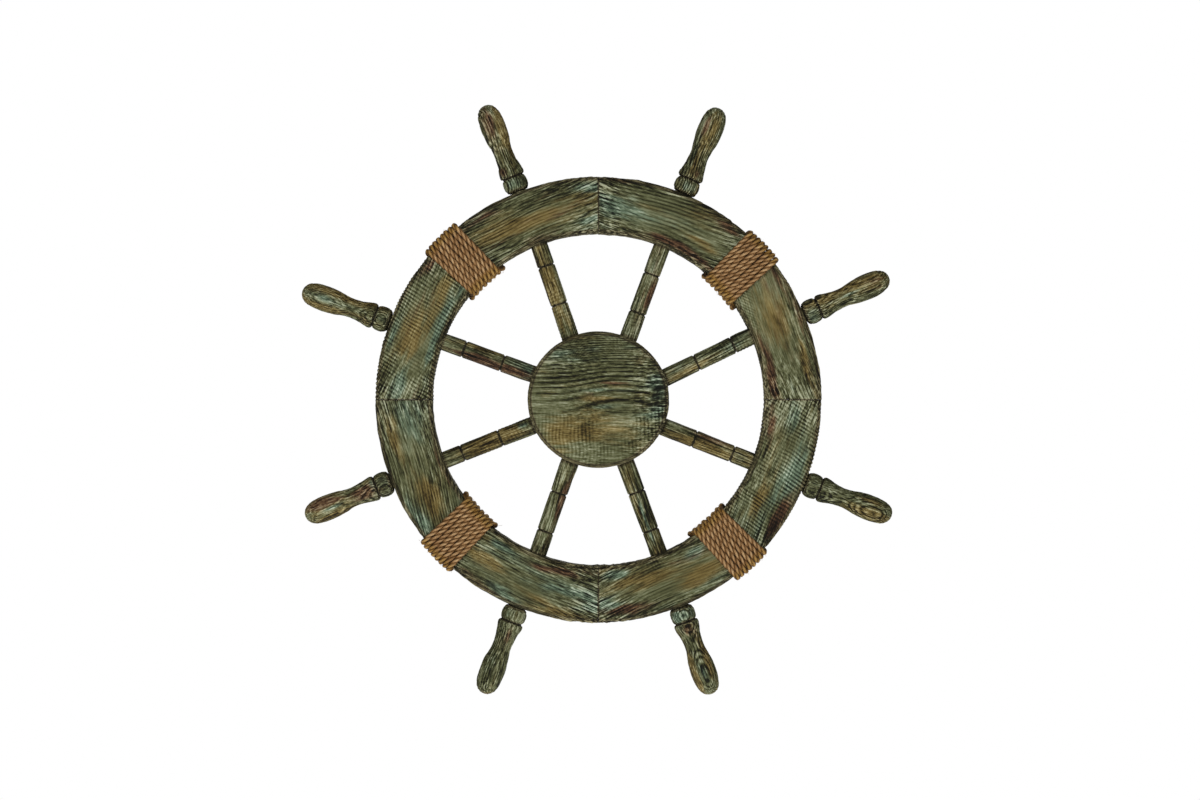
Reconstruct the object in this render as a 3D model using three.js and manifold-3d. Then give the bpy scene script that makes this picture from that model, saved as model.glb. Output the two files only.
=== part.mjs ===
// A wooden ship's steering wheel of the kind that is hung on a wall: a solid hub, eight turned spokes,
// a rim of eight dowelled felloes, eight turned handles, four rope seizings and a D-ring hanger.
// Millimetres, +Z up. The wheel stands upright in the XZ plane and faces -Y. The origin is the centre
// of the hub's back face, which is the plane that touches the wall.
import * as THREE from "three";
import { mergeVertices } from "three/addons/utils/BufferGeometryUtils.js";
import Module from "manifold-3d";

// Overall sizes.
const STATIONS = 8; // spokes, handles and felloes
const TIP_R = 305; // from the wheel's centre to a handle's tip
const HUB_R = 68.5; // along the hub's grain
const HUB_ACROSS_GRAIN = 0.965; // the board has shrunk across its grain, which is upright
const HUB_DEPTH = 38;
const HUB_FRONT_ROUND = 4;
const HUB_BACK_CHAMFER = 1.5;
const MID_Y = -HUB_DEPTH / 2; // every spoke, handle and dowel axis lies in this plane
const GAP = 0.3; // left between two pieces that touch

// Rim.
const RIM_OUTER_R = 215;
const RIM_INNER_R = 160;
const RIM_DEPTH = 26;
const RIM_FRONT_Y = MID_Y - RIM_DEPTH / 2;
const RIM_BACK_Y = MID_Y + RIM_DEPTH / 2;
const RIM_MID_R = (RIM_OUTER_R + RIM_INNER_R) / 2;
const RIM_CROWN = 1.1; // how far the pillowed front falls from its middle to its lips
const RIM_LIP = 3.3; // width of the lip cut along each front edge
const RIM_LIP_DROP = 2.3;
const RIM_BACK_CHAMFER = 1.5;
const RIM_SEGMENTS = 64;
const RIM_CORNER = 1; // rounded off the rim's edges under the ropes

// Spokes and handles.
const SPOKE_R = 8.5;
const SPOKE_GROOVES = [30.5, 69.5]; // distance of each cut groove from the hub's edge
const SPOKE_GROOVE_DEPTH = 1.1;
const SPOKE_END_CHAMFER = 1;
const HUB_SOCKET_DEPTH = 25;
const RIM_SOCKET_DEPTH = 20;
const HANDLE_LENGTH = TIP_R - RIM_OUTER_R;
const HANDLE_SHOULDER = 0.4; // the shoulder's height over the rim's outer edge
const TENON_R = 6.5;
const TENON_DEPTH = 22;
const TURNED_SIDES = 14;

// Each hole is bored by eye: degrees off its true station, for stations 1 to 8.
const RIM_HOLE_ERROR = [0, 0, -1.5, 2, -1, 1, -1, 0.5];
const HUB_HOLE_ERROR = [-3.5, -2.5, 1, 0.5, -0.5, -1.5, 0, -1];
const HANDLE_LEAN = [1.5, 0, 0.5, 1, 1, 0.5, -1.5, 1];

// Dowels across the rim's seams.
const DOWEL_R = 4;
const DOWEL_LENGTH = 40;
const DOWEL_OFFSET = 14; // each way from the rim's middle
const DOWEL_SIDES = 8;

// Rope seizings.
const SEIZINGS = 4;
const ROPE_D = 5;
const ROPE_TURNS = 8;
const SEIZING_WIDTH = ROPE_TURNS * ROPE_D + 1;
const SEIZING_ERROR = [-2, -0.5, -1.5, -2.5]; // degrees off the diagonals
const SEIZING_CORNER = 4;

// Hanger on the rim's back.
const SHEET = 1;
const PLATE_Z = 184;
const PLATE_HALF_HEIGHT = 6;
const SCREW_X = 16;
const TONGUE_WIDTH = 10;
const WIRE_R = 1.1;
const ROLL_CLEARANCE = 0.25;
const ROLL_Z = 193.5;
const ROLL_INNER_R = WIRE_R + ROLL_CLEARANCE;
const ROLL_OUTER_R = ROLL_INNER_R + SHEET;
const PLATE_FRONT_Y = RIM_BACK_Y + ROLL_CLEARANCE;
const PLATE_BACK_Y = PLATE_FRONT_Y + SHEET;
const ROLL_Y = PLATE_FRONT_Y + ROLL_OUTER_R;
const ROLL_TURN = 260; // degrees that the tongue is rolled through
const RING_HALF_WIDTH = 8.9;
const RING_STRAIGHT = 8; // from the bar to where the bow starts
const RING_CORNER_R = 2.5;
const SCREW_R = 1.5;
const SCREW_HEAD_R = 3.4;
const SCREW_LENGTH = 13;
const SCREW_POINT = 3;
const SCREW_HEAD_HEIGHT = 1.9;
const SCREW_CROWN_R = 2.4;

const MATERIALS = {
  paintedWood: new THREE.MeshStandardMaterial({ color: 0x5b5f45, roughness: 0.8, metalness: 0 }),
  wornWood: new THREE.MeshStandardMaterial({ color: 0x66593a, roughness: 0.75, metalness: 0 }),
  bareWood: new THREE.MeshStandardMaterial({ color: 0xb98f5c, roughness: 0.8, metalness: 0 }),
  rope: new THREE.MeshStandardMaterial({ color: 0x8a6e4a, roughness: 0.95, metalness: 0 }),
  zincSteel: new THREE.MeshStandardMaterial({ color: 0xa9adad, roughness: 0.4, metalness: 1 }),
};

const wasm = await Module();
wasm.setup();

// A closed geometry as a solid that can be cut and joined.
function solid(geometry) {
  const bare = geometry.clone();
  bare.deleteAttribute("normal");
  bare.deleteAttribute("uv");
  const merged = mergeVertices(bare, 1e-4);
  const source = merged.index.array;
  const kept = [];
  for (let i = 0; i < source.length; i += 3) {
    const [a, b, c] = source.slice(i, i + 3);
    if (a !== b && b !== c && c !== a) kept.push(a, b, c);
  }
  return new wasm.Manifold(
    new wasm.Mesh({
      numProp: 3,
      vertProperties: new Float32Array(merged.attributes.position.array),
      triVerts: new Uint32Array(kept),
    }),
  );
}

// A solid as a geometry again.
function geometryOf(made) {
  const { vertProperties, triVerts } = made.getMesh();
  const geometry = new THREE.BufferGeometry();
  geometry.setAttribute("position", new THREE.BufferAttribute(vertProperties, 3));
  geometry.setIndex(new THREE.BufferAttribute(triVerts, 1));
  geometry.computeVertexNormals();
  return geometry;
}

function piece(name, geometry, material) {
  const mesh = new THREE.Mesh(geometry, material);
  mesh.name = name;
  return mesh;
}

// The point at a radius and an angle in degrees, counter-clockwise from +X as seen from the front.
function polar(radius, degrees) {
  const angle = THREE.MathUtils.degToRad(degrees);
  return new THREE.Vector3(radius * Math.cos(angle), MID_Y, radius * Math.sin(angle));
}

function directionOf(degrees) {
  return polar(1, degrees).setY(0);
}

// Turns a geometry that runs along +X to an angle in the wheel's plane, and starts it at a point.
function aimed(geometry, start, degrees) {
  const angle = THREE.MathUtils.degToRad(degrees);
  return geometry.rotateY(-angle).translate(start.x, start.y, start.z);
}

// A round bar along +X from 0 to its length.
function bar(radius, length, sides) {
  const geometry = new THREE.CylinderGeometry(radius, radius, length, sides);
  return geometry.rotateZ(-Math.PI / 2).translate(length / 2, 0, 0);
}

// A profile of (radius, distance) points turned round +X.
function turned(profile, sides) {
  return new THREE.LatheGeometry(profile, sides).rotateZ(-Math.PI / 2);
}

// A shape drawn in the wheel's plane, from one depth to another.
function slab(shape, frontY, backY) {
  const settings = { depth: backY - frontY, bevelEnabled: false, curveSegments: 8 };
  return new THREE.ExtrudeGeometry(shape, settings).rotateX(Math.PI / 2).translate(0, backY, 0);
}

function station(index) {
  return (360 / STATIONS) * (index + 0.5);
}

// Where a spoke runs: its ends on the hub's edge and the rim's inner edge, its length and its angle.
function spokeLine(index) {
  const hubEnd = polar(HUB_R, station(index) + HUB_HOLE_ERROR[index]);
  hubEnd.z *= HUB_ACROSS_GRAIN;
  const rimEnd = polar(RIM_INNER_R, station(index) + RIM_HOLE_ERROR[index]);
  const along = rimEnd.clone().sub(hubEnd);
  const degrees = THREE.MathUtils.radToDeg(Math.atan2(along.z, along.x));
  return { hubEnd, length: along.length(), degrees };
}

// Where a handle stands: its foot on the rim's outer edge, and its angle.
function handleLine(index) {
  const hole = station(index) + RIM_HOLE_ERROR[index];
  return { foot: polar(RIM_OUTER_R, hole), degrees: hole + HANDLE_LEAN[index] };
}

// The hole for a spoke or a handle, from one distance along its line to another.
function boring(radius, line, start, end) {
  const from = line.foot.clone().addScaledVector(directionOf(line.degrees), start);
  return solid(aimed(bar(radius + GAP, end - start, TURNED_SIDES), from, line.degrees));
}

function makeHub() {
  const outline = new THREE.Path();
  outline.moveTo(0, -HUB_DEPTH);
  outline.lineTo(HUB_R - HUB_FRONT_ROUND, -HUB_DEPTH);
  const roundCentreY = HUB_FRONT_ROUND - HUB_DEPTH;
  outline.absarc(HUB_R - HUB_FRONT_ROUND, roundCentreY, HUB_FRONT_ROUND, -Math.PI / 2, 0);
  outline.lineTo(HUB_R, -HUB_BACK_CHAMFER);
  outline.lineTo(HUB_R - HUB_BACK_CHAMFER, 0);
  outline.lineTo(0, 0);
  const disc = new THREE.LatheGeometry(outline.getPoints(2), 48).scale(1, 1, HUB_ACROSS_GRAIN);
  let made = solid(disc);
  for (let i = 0; i < STATIONS; i++) {
    const spoke = spokeLine(i);
    const line = { foot: spoke.hubEnd, degrees: spoke.degrees };
    made = made.subtract(boring(SPOKE_R, line, -HUB_SOCKET_DEPTH - GAP, HUB_SOCKET_DEPTH));
  }
  return piece("hub", geometryOf(made), MATERIALS.paintedWood);
}

// The rim's section: flat back with eased edges, straight sides, cut lips and a pillowed front.
function rimSection() {
  const points = [];
  points.push(new THREE.Vector2(RIM_INNER_R, RIM_BACK_Y - RIM_BACK_CHAMFER));
  points.push(new THREE.Vector2(RIM_INNER_R, RIM_FRONT_Y + RIM_CROWN + RIM_LIP_DROP));
  const crownHalf = (RIM_OUTER_R - RIM_INNER_R) / 2 - RIM_LIP;
  for (let step = -2; step <= 2; step++) {
    const across = step / 2;
    const y = RIM_FRONT_Y + RIM_CROWN * across * across;
    points.push(new THREE.Vector2(RIM_MID_R + crownHalf * across, y));
  }
  points.push(new THREE.Vector2(RIM_OUTER_R, RIM_FRONT_Y + RIM_CROWN + RIM_LIP_DROP));
  points.push(new THREE.Vector2(RIM_OUTER_R, RIM_BACK_Y - RIM_BACK_CHAMFER));
  points.push(new THREE.Vector2(RIM_OUTER_R - RIM_BACK_CHAMFER, RIM_BACK_Y));
  points.push(new THREE.Vector2(RIM_INNER_R + RIM_BACK_CHAMFER, RIM_BACK_Y));
  points.push(points[0].clone());
  return points;
}

// One eighth of the wheel's plane, drawn back from each seam by half the gap.
function eighth(index) {
  const half = 180 / STATIONS;
  const setBack = GAP / 2 / Math.sin(THREE.MathUtils.degToRad(half));
  const apex = directionOf(station(index)).multiplyScalar(setBack);
  const reach = 2 * RIM_OUTER_R;
  const shape = new THREE.Shape();
  shape.moveTo(apex.x, apex.z);
  for (const side of [-half, half]) {
    const corner = directionOf(station(index) + side).multiplyScalar(reach).add(apex);
    shape.lineTo(corner.x, corner.z);
  }
  return slab(shape, 2 * RIM_FRONT_Y, HUB_DEPTH);
}

// A dowel's place: its middle lies on a seam, inside or outside the rim's middle.
function dowelGeometry(seamDegrees, radius, growth) {
  const length = DOWEL_LENGTH + 2 * growth;
  const along = directionOf(seamDegrees + 90);
  const start = polar(radius, seamDegrees).addScaledVector(along, -length / 2);
  return aimed(bar(DOWEL_R + growth, length, DOWEL_SIDES), start, seamDegrees + 90);
}

function screwHole(x) {
  const hole = bar(SCREW_R + GAP, SCREW_LENGTH, TURNED_SIDES).rotateZ(Math.PI / 2);
  return solid(hole.translate(x, RIM_BACK_Y - SCREW_LENGTH + SHEET, PLATE_Z));
}

function makeFelloe(index, ring) {
  let made = ring.intersect(solid(eighth(index)));
  const spoke = spokeLine(index);
  const spokeHole = { foot: spoke.hubEnd, degrees: spoke.degrees };
  const spokeEnd = spoke.length + RIM_SOCKET_DEPTH + GAP;
  made = made.subtract(boring(SPOKE_R, spokeHole, spoke.length / 2, spokeEnd));
  made = made.subtract(boring(TENON_R, handleLine(index), -TENON_DEPTH - GAP, TENON_DEPTH));
  for (const seam of [index, index + 1]) {
    for (const side of [-1, 1]) {
      const radius = RIM_MID_R + side * DOWEL_OFFSET;
      made = made.subtract(solid(dowelGeometry((360 / STATIONS) * seam, radius, GAP)));
    }
  }
  for (const x of [-SCREW_X, SCREW_X]) made = made.subtract(screwHole(x));
  return piece("felloe_" + (index + 1), geometryOf(made), MATERIALS.paintedWood);
}

function makeDowels(seam) {
  const group = new THREE.Group();
  for (const [word, side] of [["inner", -1], ["outer", 1]]) {
    const radius = RIM_MID_R + side * DOWEL_OFFSET;
    const geometry = dowelGeometry((360 / STATIONS) * seam, radius, 0);
    group.add(piece("rim_dowel_" + seam + "_" + word, geometry, MATERIALS.bareWood));
  }
  return group;
}

// A straight rod with two V grooves, from the bottom of its hub socket to the end of its rim socket.
function makeSpoke(index) {
  const line = spokeLine(index);
  const start = -HUB_SOCKET_DEPTH;
  const end = line.length + RIM_SOCKET_DEPTH;
  const profile = [new THREE.Vector2(0, start), new THREE.Vector2(SPOKE_R - SPOKE_END_CHAMFER, start)];
  profile.push(new THREE.Vector2(SPOKE_R, start + SPOKE_END_CHAMFER));
  for (const groove of SPOKE_GROOVES) {
    profile.push(new THREE.Vector2(SPOKE_R, groove - SPOKE_GROOVE_DEPTH));
    profile.push(new THREE.Vector2(SPOKE_R - SPOKE_GROOVE_DEPTH, groove));
    profile.push(new THREE.Vector2(SPOKE_R, groove + SPOKE_GROOVE_DEPTH));
  }
  profile.push(new THREE.Vector2(SPOKE_R, end - SPOKE_END_CHAMFER));
  profile.push(new THREE.Vector2(SPOKE_R - SPOKE_END_CHAMFER, end), new THREE.Vector2(0, end));
  const mesh = piece("spoke_" + (index + 1), turned(profile, TURNED_SIDES), MATERIALS.wornWood);
  mesh.position.copy(line.hubEnd);
  mesh.rotation.y = -THREE.MathUtils.degToRad(line.degrees);
  return mesh;
}

// A handle's outline from its tenon's end to its tip: bead, groove, collar, waist and swelling grip.
function handleProfile() {
  const outline = new THREE.Path();
  outline.moveTo(0, -TENON_DEPTH);
  outline.lineTo(TENON_R, -TENON_DEPTH);
  outline.lineTo(TENON_R, HANDLE_SHOULDER);
  outline.lineTo(9.6, HANDLE_SHOULDER);
  outline.splineThru([new THREE.Vector2(12.3, 7.5), new THREE.Vector2(11, 15)]);
  outline.lineTo(12.5, 17.5);
  outline.splineThru([
    new THREE.Vector2(9.35, 38.4),
    new THREE.Vector2(12.45, 66),
    new THREE.Vector2(10.8, 81),
    new THREE.Vector2(5.4, 88.2),
    new THREE.Vector2(0, HANDLE_LENGTH),
  ]);
  return outline.getPoints(2);
}

function makeHandle(index, profile) {
  const line = handleLine(index);
  const mesh = piece("handle_" + (index + 1), turned(profile, TURNED_SIDES), MATERIALS.wornWood);
  mesh.position.copy(line.foot);
  mesh.rotation.y = -THREE.MathUtils.degToRad(line.degrees);
  return mesh;
}

// A rounded box section round the rim, grown from it by a distance, turned round the wheel's axis.
function roundRimRing(growth, corner) {
  const path = new THREE.Path();
  const low = RIM_INNER_R - growth;
  const high = RIM_OUTER_R + growth;
  const front = RIM_FRONT_Y - growth;
  const back = RIM_BACK_Y + growth;
  path.absarc(low + corner, front + corner, corner, Math.PI, Math.PI * 1.5);
  path.absarc(high - corner, front + corner, corner, Math.PI * 1.5, Math.PI * 2);
  path.absarc(high - corner, back - corner, corner, 0, Math.PI / 2);
  path.absarc(low + corner, back - corner, corner, Math.PI / 2, Math.PI);
  const points = path.getPoints(2);
  points.push(points[0].clone());
  return solid(new THREE.LatheGeometry(points, RIM_SEGMENTS));
}

// A sleeve of the rope's thickness round the rim, as wide as its eight turns side by side.
function makeSeizing(index, sleeve) {
  const degrees = (360 / SEIZINGS) * (index + 0.5) + SEIZING_ERROR[index];
  // The block that is kept of the sleeve runs from well inside the rim to well outside it.
  const across = directionOf(degrees + 90).multiplyScalar(SEIZING_WIDTH / 2);
  const inner = directionOf(degrees).multiplyScalar(RIM_INNER_R / 2);
  const outer = directionOf(degrees).multiplyScalar(RIM_OUTER_R * 1.5);
  const shape = new THREE.Shape();
  shape.moveTo(inner.x - across.x, inner.z - across.z);
  shape.lineTo(outer.x - across.x, outer.z - across.z);
  shape.lineTo(outer.x + across.x, outer.z + across.z);
  shape.lineTo(inner.x + across.x, inner.z + across.z);
  const made = sleeve.intersect(solid(slab(shape, 2 * RIM_FRONT_Y, HUB_DEPTH)));
  return piece("rope_seizing_" + (index + 1), geometryOf(made), MATERIALS.rope);
}

// The plate's tongue seen from the side: up the plate, round the ring's bar and nearly back.
function tongueGeometry() {
  const shape = new THREE.Shape();
  const endAngle = Math.PI - THREE.MathUtils.degToRad(ROLL_TURN);
  shape.moveTo(PLATE_FRONT_Y, PLATE_Z);
  shape.absarc(ROLL_Y, ROLL_Z, ROLL_OUTER_R, Math.PI, endAngle, true);
  shape.absarc(ROLL_Y, ROLL_Z, ROLL_INNER_R, endAngle, Math.PI, false);
  shape.lineTo(PLATE_BACK_Y, PLATE_Z);
  const settings = { depth: TONGUE_WIDTH, bevelEnabled: false, curveSegments: 10 };
  const geometry = new THREE.ExtrudeGeometry(shape, settings);
  // The shape's x is the wheel's y and its y is the wheel's z, so the extrusion runs along x.
  const turn = new THREE.Matrix4().makeBasis(
    new THREE.Vector3(0, 1, 0),
    new THREE.Vector3(0, 0, 1),
    new THREE.Vector3(1, 0, 0),
  );
  return geometry.applyMatrix4(turn).translate(-TONGUE_WIDTH / 2, 0, 0);
}

function makeHangerPlate() {
  const shape = new THREE.Shape();
  const half = PLATE_HALF_HEIGHT;
  shape.moveTo(-SCREW_X, PLATE_Z - half);
  shape.absarc(SCREW_X, PLATE_Z, half, -Math.PI / 2, Math.PI / 2);
  shape.absarc(-SCREW_X, PLATE_Z, half, Math.PI / 2, Math.PI * 1.5);
  for (const x of [-SCREW_X, SCREW_X]) {
    shape.holes.push(new THREE.Path().absarc(x, PLATE_Z, SCREW_R + GAP, 0, Math.PI * 2));
  }
  const wings = solid(slab(shape, PLATE_FRONT_Y, PLATE_BACK_Y));
  const made = wings.add(solid(tongueGeometry()));
  return piece("hanger_plate", geometryOf(made), MATERIALS.zincSteel);
}

// The D-ring's centre line, hanging down from its straight bar.
function ringCurve() {
  const path = new THREE.Path();
  const bar = RING_HALF_WIDTH - RING_CORNER_R;
  path.moveTo(-bar, 0);
  path.lineTo(bar, 0);
  path.absarc(bar, -RING_CORNER_R, RING_CORNER_R, Math.PI / 2, 0, true);
  path.lineTo(RING_HALF_WIDTH, -RING_STRAIGHT);
  path.absarc(0, -RING_STRAIGHT, RING_HALF_WIDTH, 0, -Math.PI, true);
  path.lineTo(-RING_HALF_WIDTH, -RING_CORNER_R);
  path.absarc(-bar, -RING_CORNER_R, RING_CORNER_R, Math.PI, Math.PI / 2, true);
  const spaced = path.getSpacedPoints(40).slice(0, -1);
  const points = spaced.map((point) => new THREE.Vector3(point.x, 0, point.y));
  return new THREE.CatmullRomCurve3(points, true);
}

function makeHangerRing() {
  const geometry = new THREE.TubeGeometry(ringCurve(), 36, WIRE_R, 8, true);
  const mesh = piece("hanger_ring", geometry, MATERIALS.zincSteel);
  mesh.position.set(0, ROLL_Y, ROLL_Z);
  return mesh;
}

// A pan-headed wood screw, head to +Y.
function makeScrew(word, x) {
  const profile = [
    new THREE.Vector2(0, SHEET - SCREW_LENGTH),
    new THREE.Vector2(SCREW_R, SCREW_POINT + SHEET - SCREW_LENGTH),
    new THREE.Vector2(SCREW_R, SHEET + ROLL_CLEARANCE),
    new THREE.Vector2(SCREW_HEAD_R, SHEET + ROLL_CLEARANCE),
    new THREE.Vector2(SCREW_HEAD_R, SHEET + SCREW_HEAD_HEIGHT / 2),
    new THREE.Vector2(SCREW_CROWN_R, SHEET + SCREW_HEAD_HEIGHT),
    new THREE.Vector2(0, SHEET + SCREW_HEAD_HEIGHT),
  ];
  const geometry = new THREE.LatheGeometry(profile, TURNED_SIDES);
  const mesh = piece("hanger_screw_" + word, geometry, MATERIALS.zincSteel);
  mesh.position.set(x, PLATE_FRONT_Y, PLATE_Z);
  return mesh;
}

function makeWheel() {
  const wheel = new THREE.Group();
  wheel.add(makeHub());
  const ring = solid(new THREE.LatheGeometry(rimSection(), RIM_SEGMENTS));
  const profile = handleProfile();
  for (let i = 0; i < STATIONS; i++) {
    wheel.add(makeFelloe(i, ring), makeSpoke(i), makeHandle(i, profile), makeDowels(i + 1));
  }
  const hollow = roundRimRing(GAP, RIM_CORNER);
  const sleeve = roundRimRing(GAP + ROPE_D, SEIZING_CORNER).subtract(hollow);
  for (let i = 0; i < SEIZINGS; i++) wheel.add(makeSeizing(i, sleeve));
  wheel.add(makeHangerPlate(), makeHangerRing());
  wheel.add(makeScrew("left", -SCREW_X), makeScrew("right", SCREW_X));
  return wheel;
}

const group = makeWheel();

export default group;
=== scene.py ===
# %% [markdown]
# # A wooden ship's wheel with rope seizings
# The wheel is a wall piece: a solid hub, eight turned spokes, a rim of eight jointed felloes, eight turned
# handles and four rope seizings, with a D-ring hanger behind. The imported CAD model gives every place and
# size. This lesson makes the surfaces: weathered, painted wood, laid rope and zinc-plated steel.
# Each wooden piece is a fine mesh whose furrows are real geometry. They come from one idea: every point knows
# where it was in the tree, so growth rings, fibres and saw marks fall right on faces, edges and turned work.

import itertools
import math

import bpy
import numpy as np
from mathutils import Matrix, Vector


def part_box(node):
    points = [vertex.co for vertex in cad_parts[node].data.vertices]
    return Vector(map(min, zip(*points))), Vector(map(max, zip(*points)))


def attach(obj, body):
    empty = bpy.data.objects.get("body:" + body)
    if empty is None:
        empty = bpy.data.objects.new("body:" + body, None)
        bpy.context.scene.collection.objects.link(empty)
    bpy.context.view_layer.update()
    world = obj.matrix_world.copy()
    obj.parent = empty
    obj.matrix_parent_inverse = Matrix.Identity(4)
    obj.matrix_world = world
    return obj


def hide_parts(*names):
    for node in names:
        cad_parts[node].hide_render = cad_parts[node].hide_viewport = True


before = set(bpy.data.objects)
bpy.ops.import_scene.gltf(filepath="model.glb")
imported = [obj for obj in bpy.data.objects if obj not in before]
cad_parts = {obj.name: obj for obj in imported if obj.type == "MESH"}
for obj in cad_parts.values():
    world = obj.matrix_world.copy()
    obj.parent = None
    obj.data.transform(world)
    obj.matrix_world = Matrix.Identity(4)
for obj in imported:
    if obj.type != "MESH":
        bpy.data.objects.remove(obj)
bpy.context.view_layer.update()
MM = 0.001

# %% [markdown]
# ## Camera
# The wheel is seen square on, from far enough away that the hub hides none of the spokes. A long lens from
# 2.6 m does that. The frame is 1160 mm wide at the wheel's middle plane.

# %% Make the camera
hub_low, hub_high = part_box("hub")
MID_Y = (hub_low.y + hub_high.y) / 2
CAMERA_DISTANCE = 2.6
FRAME_WIDTH = 1.160

camera = bpy.data.objects.new("camera", bpy.data.cameras.new("camera"))
bpy.context.scene.collection.objects.link(camera)
camera.location = (0.0015, MID_Y - CAMERA_DISTANCE, -0.0003)
camera.rotation_euler = (math.radians(90), 0, 0)
camera.data.sensor_width = 36
camera.data.lens = 36 * CAMERA_DISTANCE / FRAME_WIDTH
camera.data.clip_end = 50
bpy.context.scene.camera = camera
print("lens", round(camera.data.lens, 1), "mm")

# %% [markdown]
# ## Light and floor
# A white room with one broad soft light high in front, and weaker ones at the right and behind. The room
# looks white, but lights the wheel at an eighth of that strength, so that round pieces still darken towards
# their sides.
# The floor lies well below the wheel, because the wheel hangs on a wall at eye height.

# %% Colours
def linear(hex_colour):
    """An sRGB hex colour as linear red, green, blue and alpha."""
    parts = [int(hex_colour[i : i + 2], 16) / 255 for i in (1, 3, 5)]
    parts = [p / 12.92 if p <= 0.04045 else ((p + 0.055) / 1.055) ** 2.4 for p in parts]
    return (*parts, 1)


print("mid olive, linear:", [round(v, 3) for v in linear("#5c5b41")])


# %% Adding shader nodes
def output_of(value):
    """The socket that a node, or a (node, output name) pair, stands for."""
    node, name = value if isinstance(value, tuple) else (value, None)
    return next(s for s in node.outputs if s.enabled and name in (None, s.name))


def fill(tree, target, value):
    """Links a node, or (node, name of its output), to an input, or else sets the input's value."""
    first = value[0] if isinstance(value, tuple) else value
    if isinstance(first, bpy.types.Node):
        tree.links.new(output_of(value), target)
    else:
        target.default_value = value


def add(tree, kind, settings=None, numbered=(), **inputs):
    """Adds a node, sets its settings and fills its inputs, by name or by number."""
    made = tree.nodes.new("ShaderNode" + kind)
    for name, value in (settings or {}).items():
        setattr(made, name, value)
    shown = [s for s in made.inputs if s.enabled]
    wanted = [(shown[i], value) for i, value in enumerate(numbered)]
    wanted += [(next(s for s in shown if s.name == name.replace("_", " ")), v) for name, v in inputs.items()]
    for target, value in wanted:
        fill(tree, target, value)
    return made


def new_material(name):
    """A material, its node tree and its shader."""
    material = bpy.data.materials.new(name)
    material.use_nodes = True
    return material, material.node_tree, material.node_tree.nodes["Principled BSDF"]


def feed(tree, shader, **inputs):
    """Fills a shader's inputs by name."""
    for name, value in inputs.items():
        fill(tree, shader.inputs[name.replace("_", " ")], value)


print("add() fills a node's inputs, and feed() a shader's")

# %% White room
scene = bpy.context.scene
scene.view_settings.view_transform = "Standard"
ROOM_LIGHT = 0.13
world = bpy.data.worlds.new("white room")
world.use_nodes = True
tree = world.node_tree
tree.nodes.clear()
lighting = add(tree, "Background", Color=(1, 1, 1, 1), Strength=ROOM_LIGHT)
seen = add(tree, "Background", Color=(1, 1, 1, 1), Strength=1.0)
room = add(tree, "MixShader", numbered=((add(tree, "LightPath"), "Is Camera Ray"), lighting, seen))
add(tree, "OutputWorld", Surface=room)
scene.world = world


def soft_light(name, place, size, watts, aim=True):
    """A square area light that faces the hub, or straight down."""
    lamp = bpy.data.objects.new(name, bpy.data.lights.new(name, "AREA"))
    lamp.data.size = size
    lamp.data.energy = watts
    lamp.location = place
    if aim:
        lamp.rotation_euler = lamp.location.to_track_quat("Z", "Y").to_euler()
    scene.collection.objects.link(lamp)
    return lamp


soft_light("broad light", (-0.6, -2.4, 0.9), 1.0, 37)
soft_light("side light", (1.5, -1.9, 0.3), 0.9, 6)
soft_light("back light", (0.5, 2.2, 0.8), 1.2, 16)
soft_light("floor wash", (0, 0, -0.5), 6.4, 120, aim=False)
print(len(bpy.data.lights), "lights")

# %% Floor
# A concrete floor painted off-white, barely mottled, 0.9 m below the hub. It is 6 m wide, so from straight in
# front it is out of sight.
FLOOR_DEPTH = 0.9
floor_paint, tree, shader = new_material("off_white_floor_paint")
mottle = add(tree, "TexNoise", Vector=(add(tree, "TexCoord"), "Object"), Scale=1.5, Detail=3.0)
tint = add(tree, "ValToRGB", Fac=mottle)
tint.color_ramp.elements[0].color = linear("#f4f3f1")
tint.color_ramp.elements[1].color = linear("#fbfaf8")
feed(tree, shader, Base_Color=tint, Roughness=0.9)
sheet = bpy.data.meshes.new("floor")
reach = 3.0
corners = ((-reach, -reach), (reach, -reach), (reach, reach), (-reach, reach))
sheet.from_pydata([(x, y, -FLOOR_DEPTH) for x, y in corners], [], [(0, 1, 2, 3)])
sheet.materials.append(floor_paint)
floor = bpy.data.objects.new("floor", sheet)
scene.collection.objects.link(floor)
print("floor at", -FLOOR_DEPTH, "m")

# %% [markdown]
# ## Wood, as numbers
# Noise gives everything its unevenness: a block of seeded random values, read between its points, is smooth
# and the same on every run. Blender's own noise could do this one point at a time, but a wheel has over
# half a million points, so NumPy reads the block for all of them at once.

# %% Smooth noise
NOISE_SIDE = 48


class Noise:
    """Smooth random values from -1 to 1, anywhere in space, at a spacing of one unit."""

    def __init__(self, seed):
        self.values = np.random.default_rng(seed).uniform(-1, 1, (NOISE_SIDE,) * 3).ravel()

    def at(self, points):
        base = np.floor(points).astype(int)
        part = points - base
        part = part * part * (3 - 2 * part)
        total = 0.0
        for corner in itertools.product((0, 1), repeat=3):
            i, j, k = (np.mod(base[..., n] + corner[n], NOISE_SIDE) for n in range(3))
            shares = [part[..., n] if corner[n] else 1 - part[..., n] for n in range(3)]
            value = self.values[(i * NOISE_SIDE + j) * NOISE_SIDE + k]
            total = total + shares[0] * shares[1] * shares[2] * value
        return total

    def stretched(self, points, along, across):
        """Noise in grain coordinates, in mm: patches that long and that wide."""
        return self.at(points / (along, across, across))


noise = Noise(11)
print("noise block", noise.values.shape)

# %% [markdown]
# ## Where each point was in the tree
# A board remembers its log. For each point we work out how far along the trunk it lay and how far from the
# pith, in mm. The distance from the pith, over the ring width, numbers the growth rings. Where the surface
# runs nearly level with the rings they open out into ovals and arches, as they do on the grips and the hub.

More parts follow.
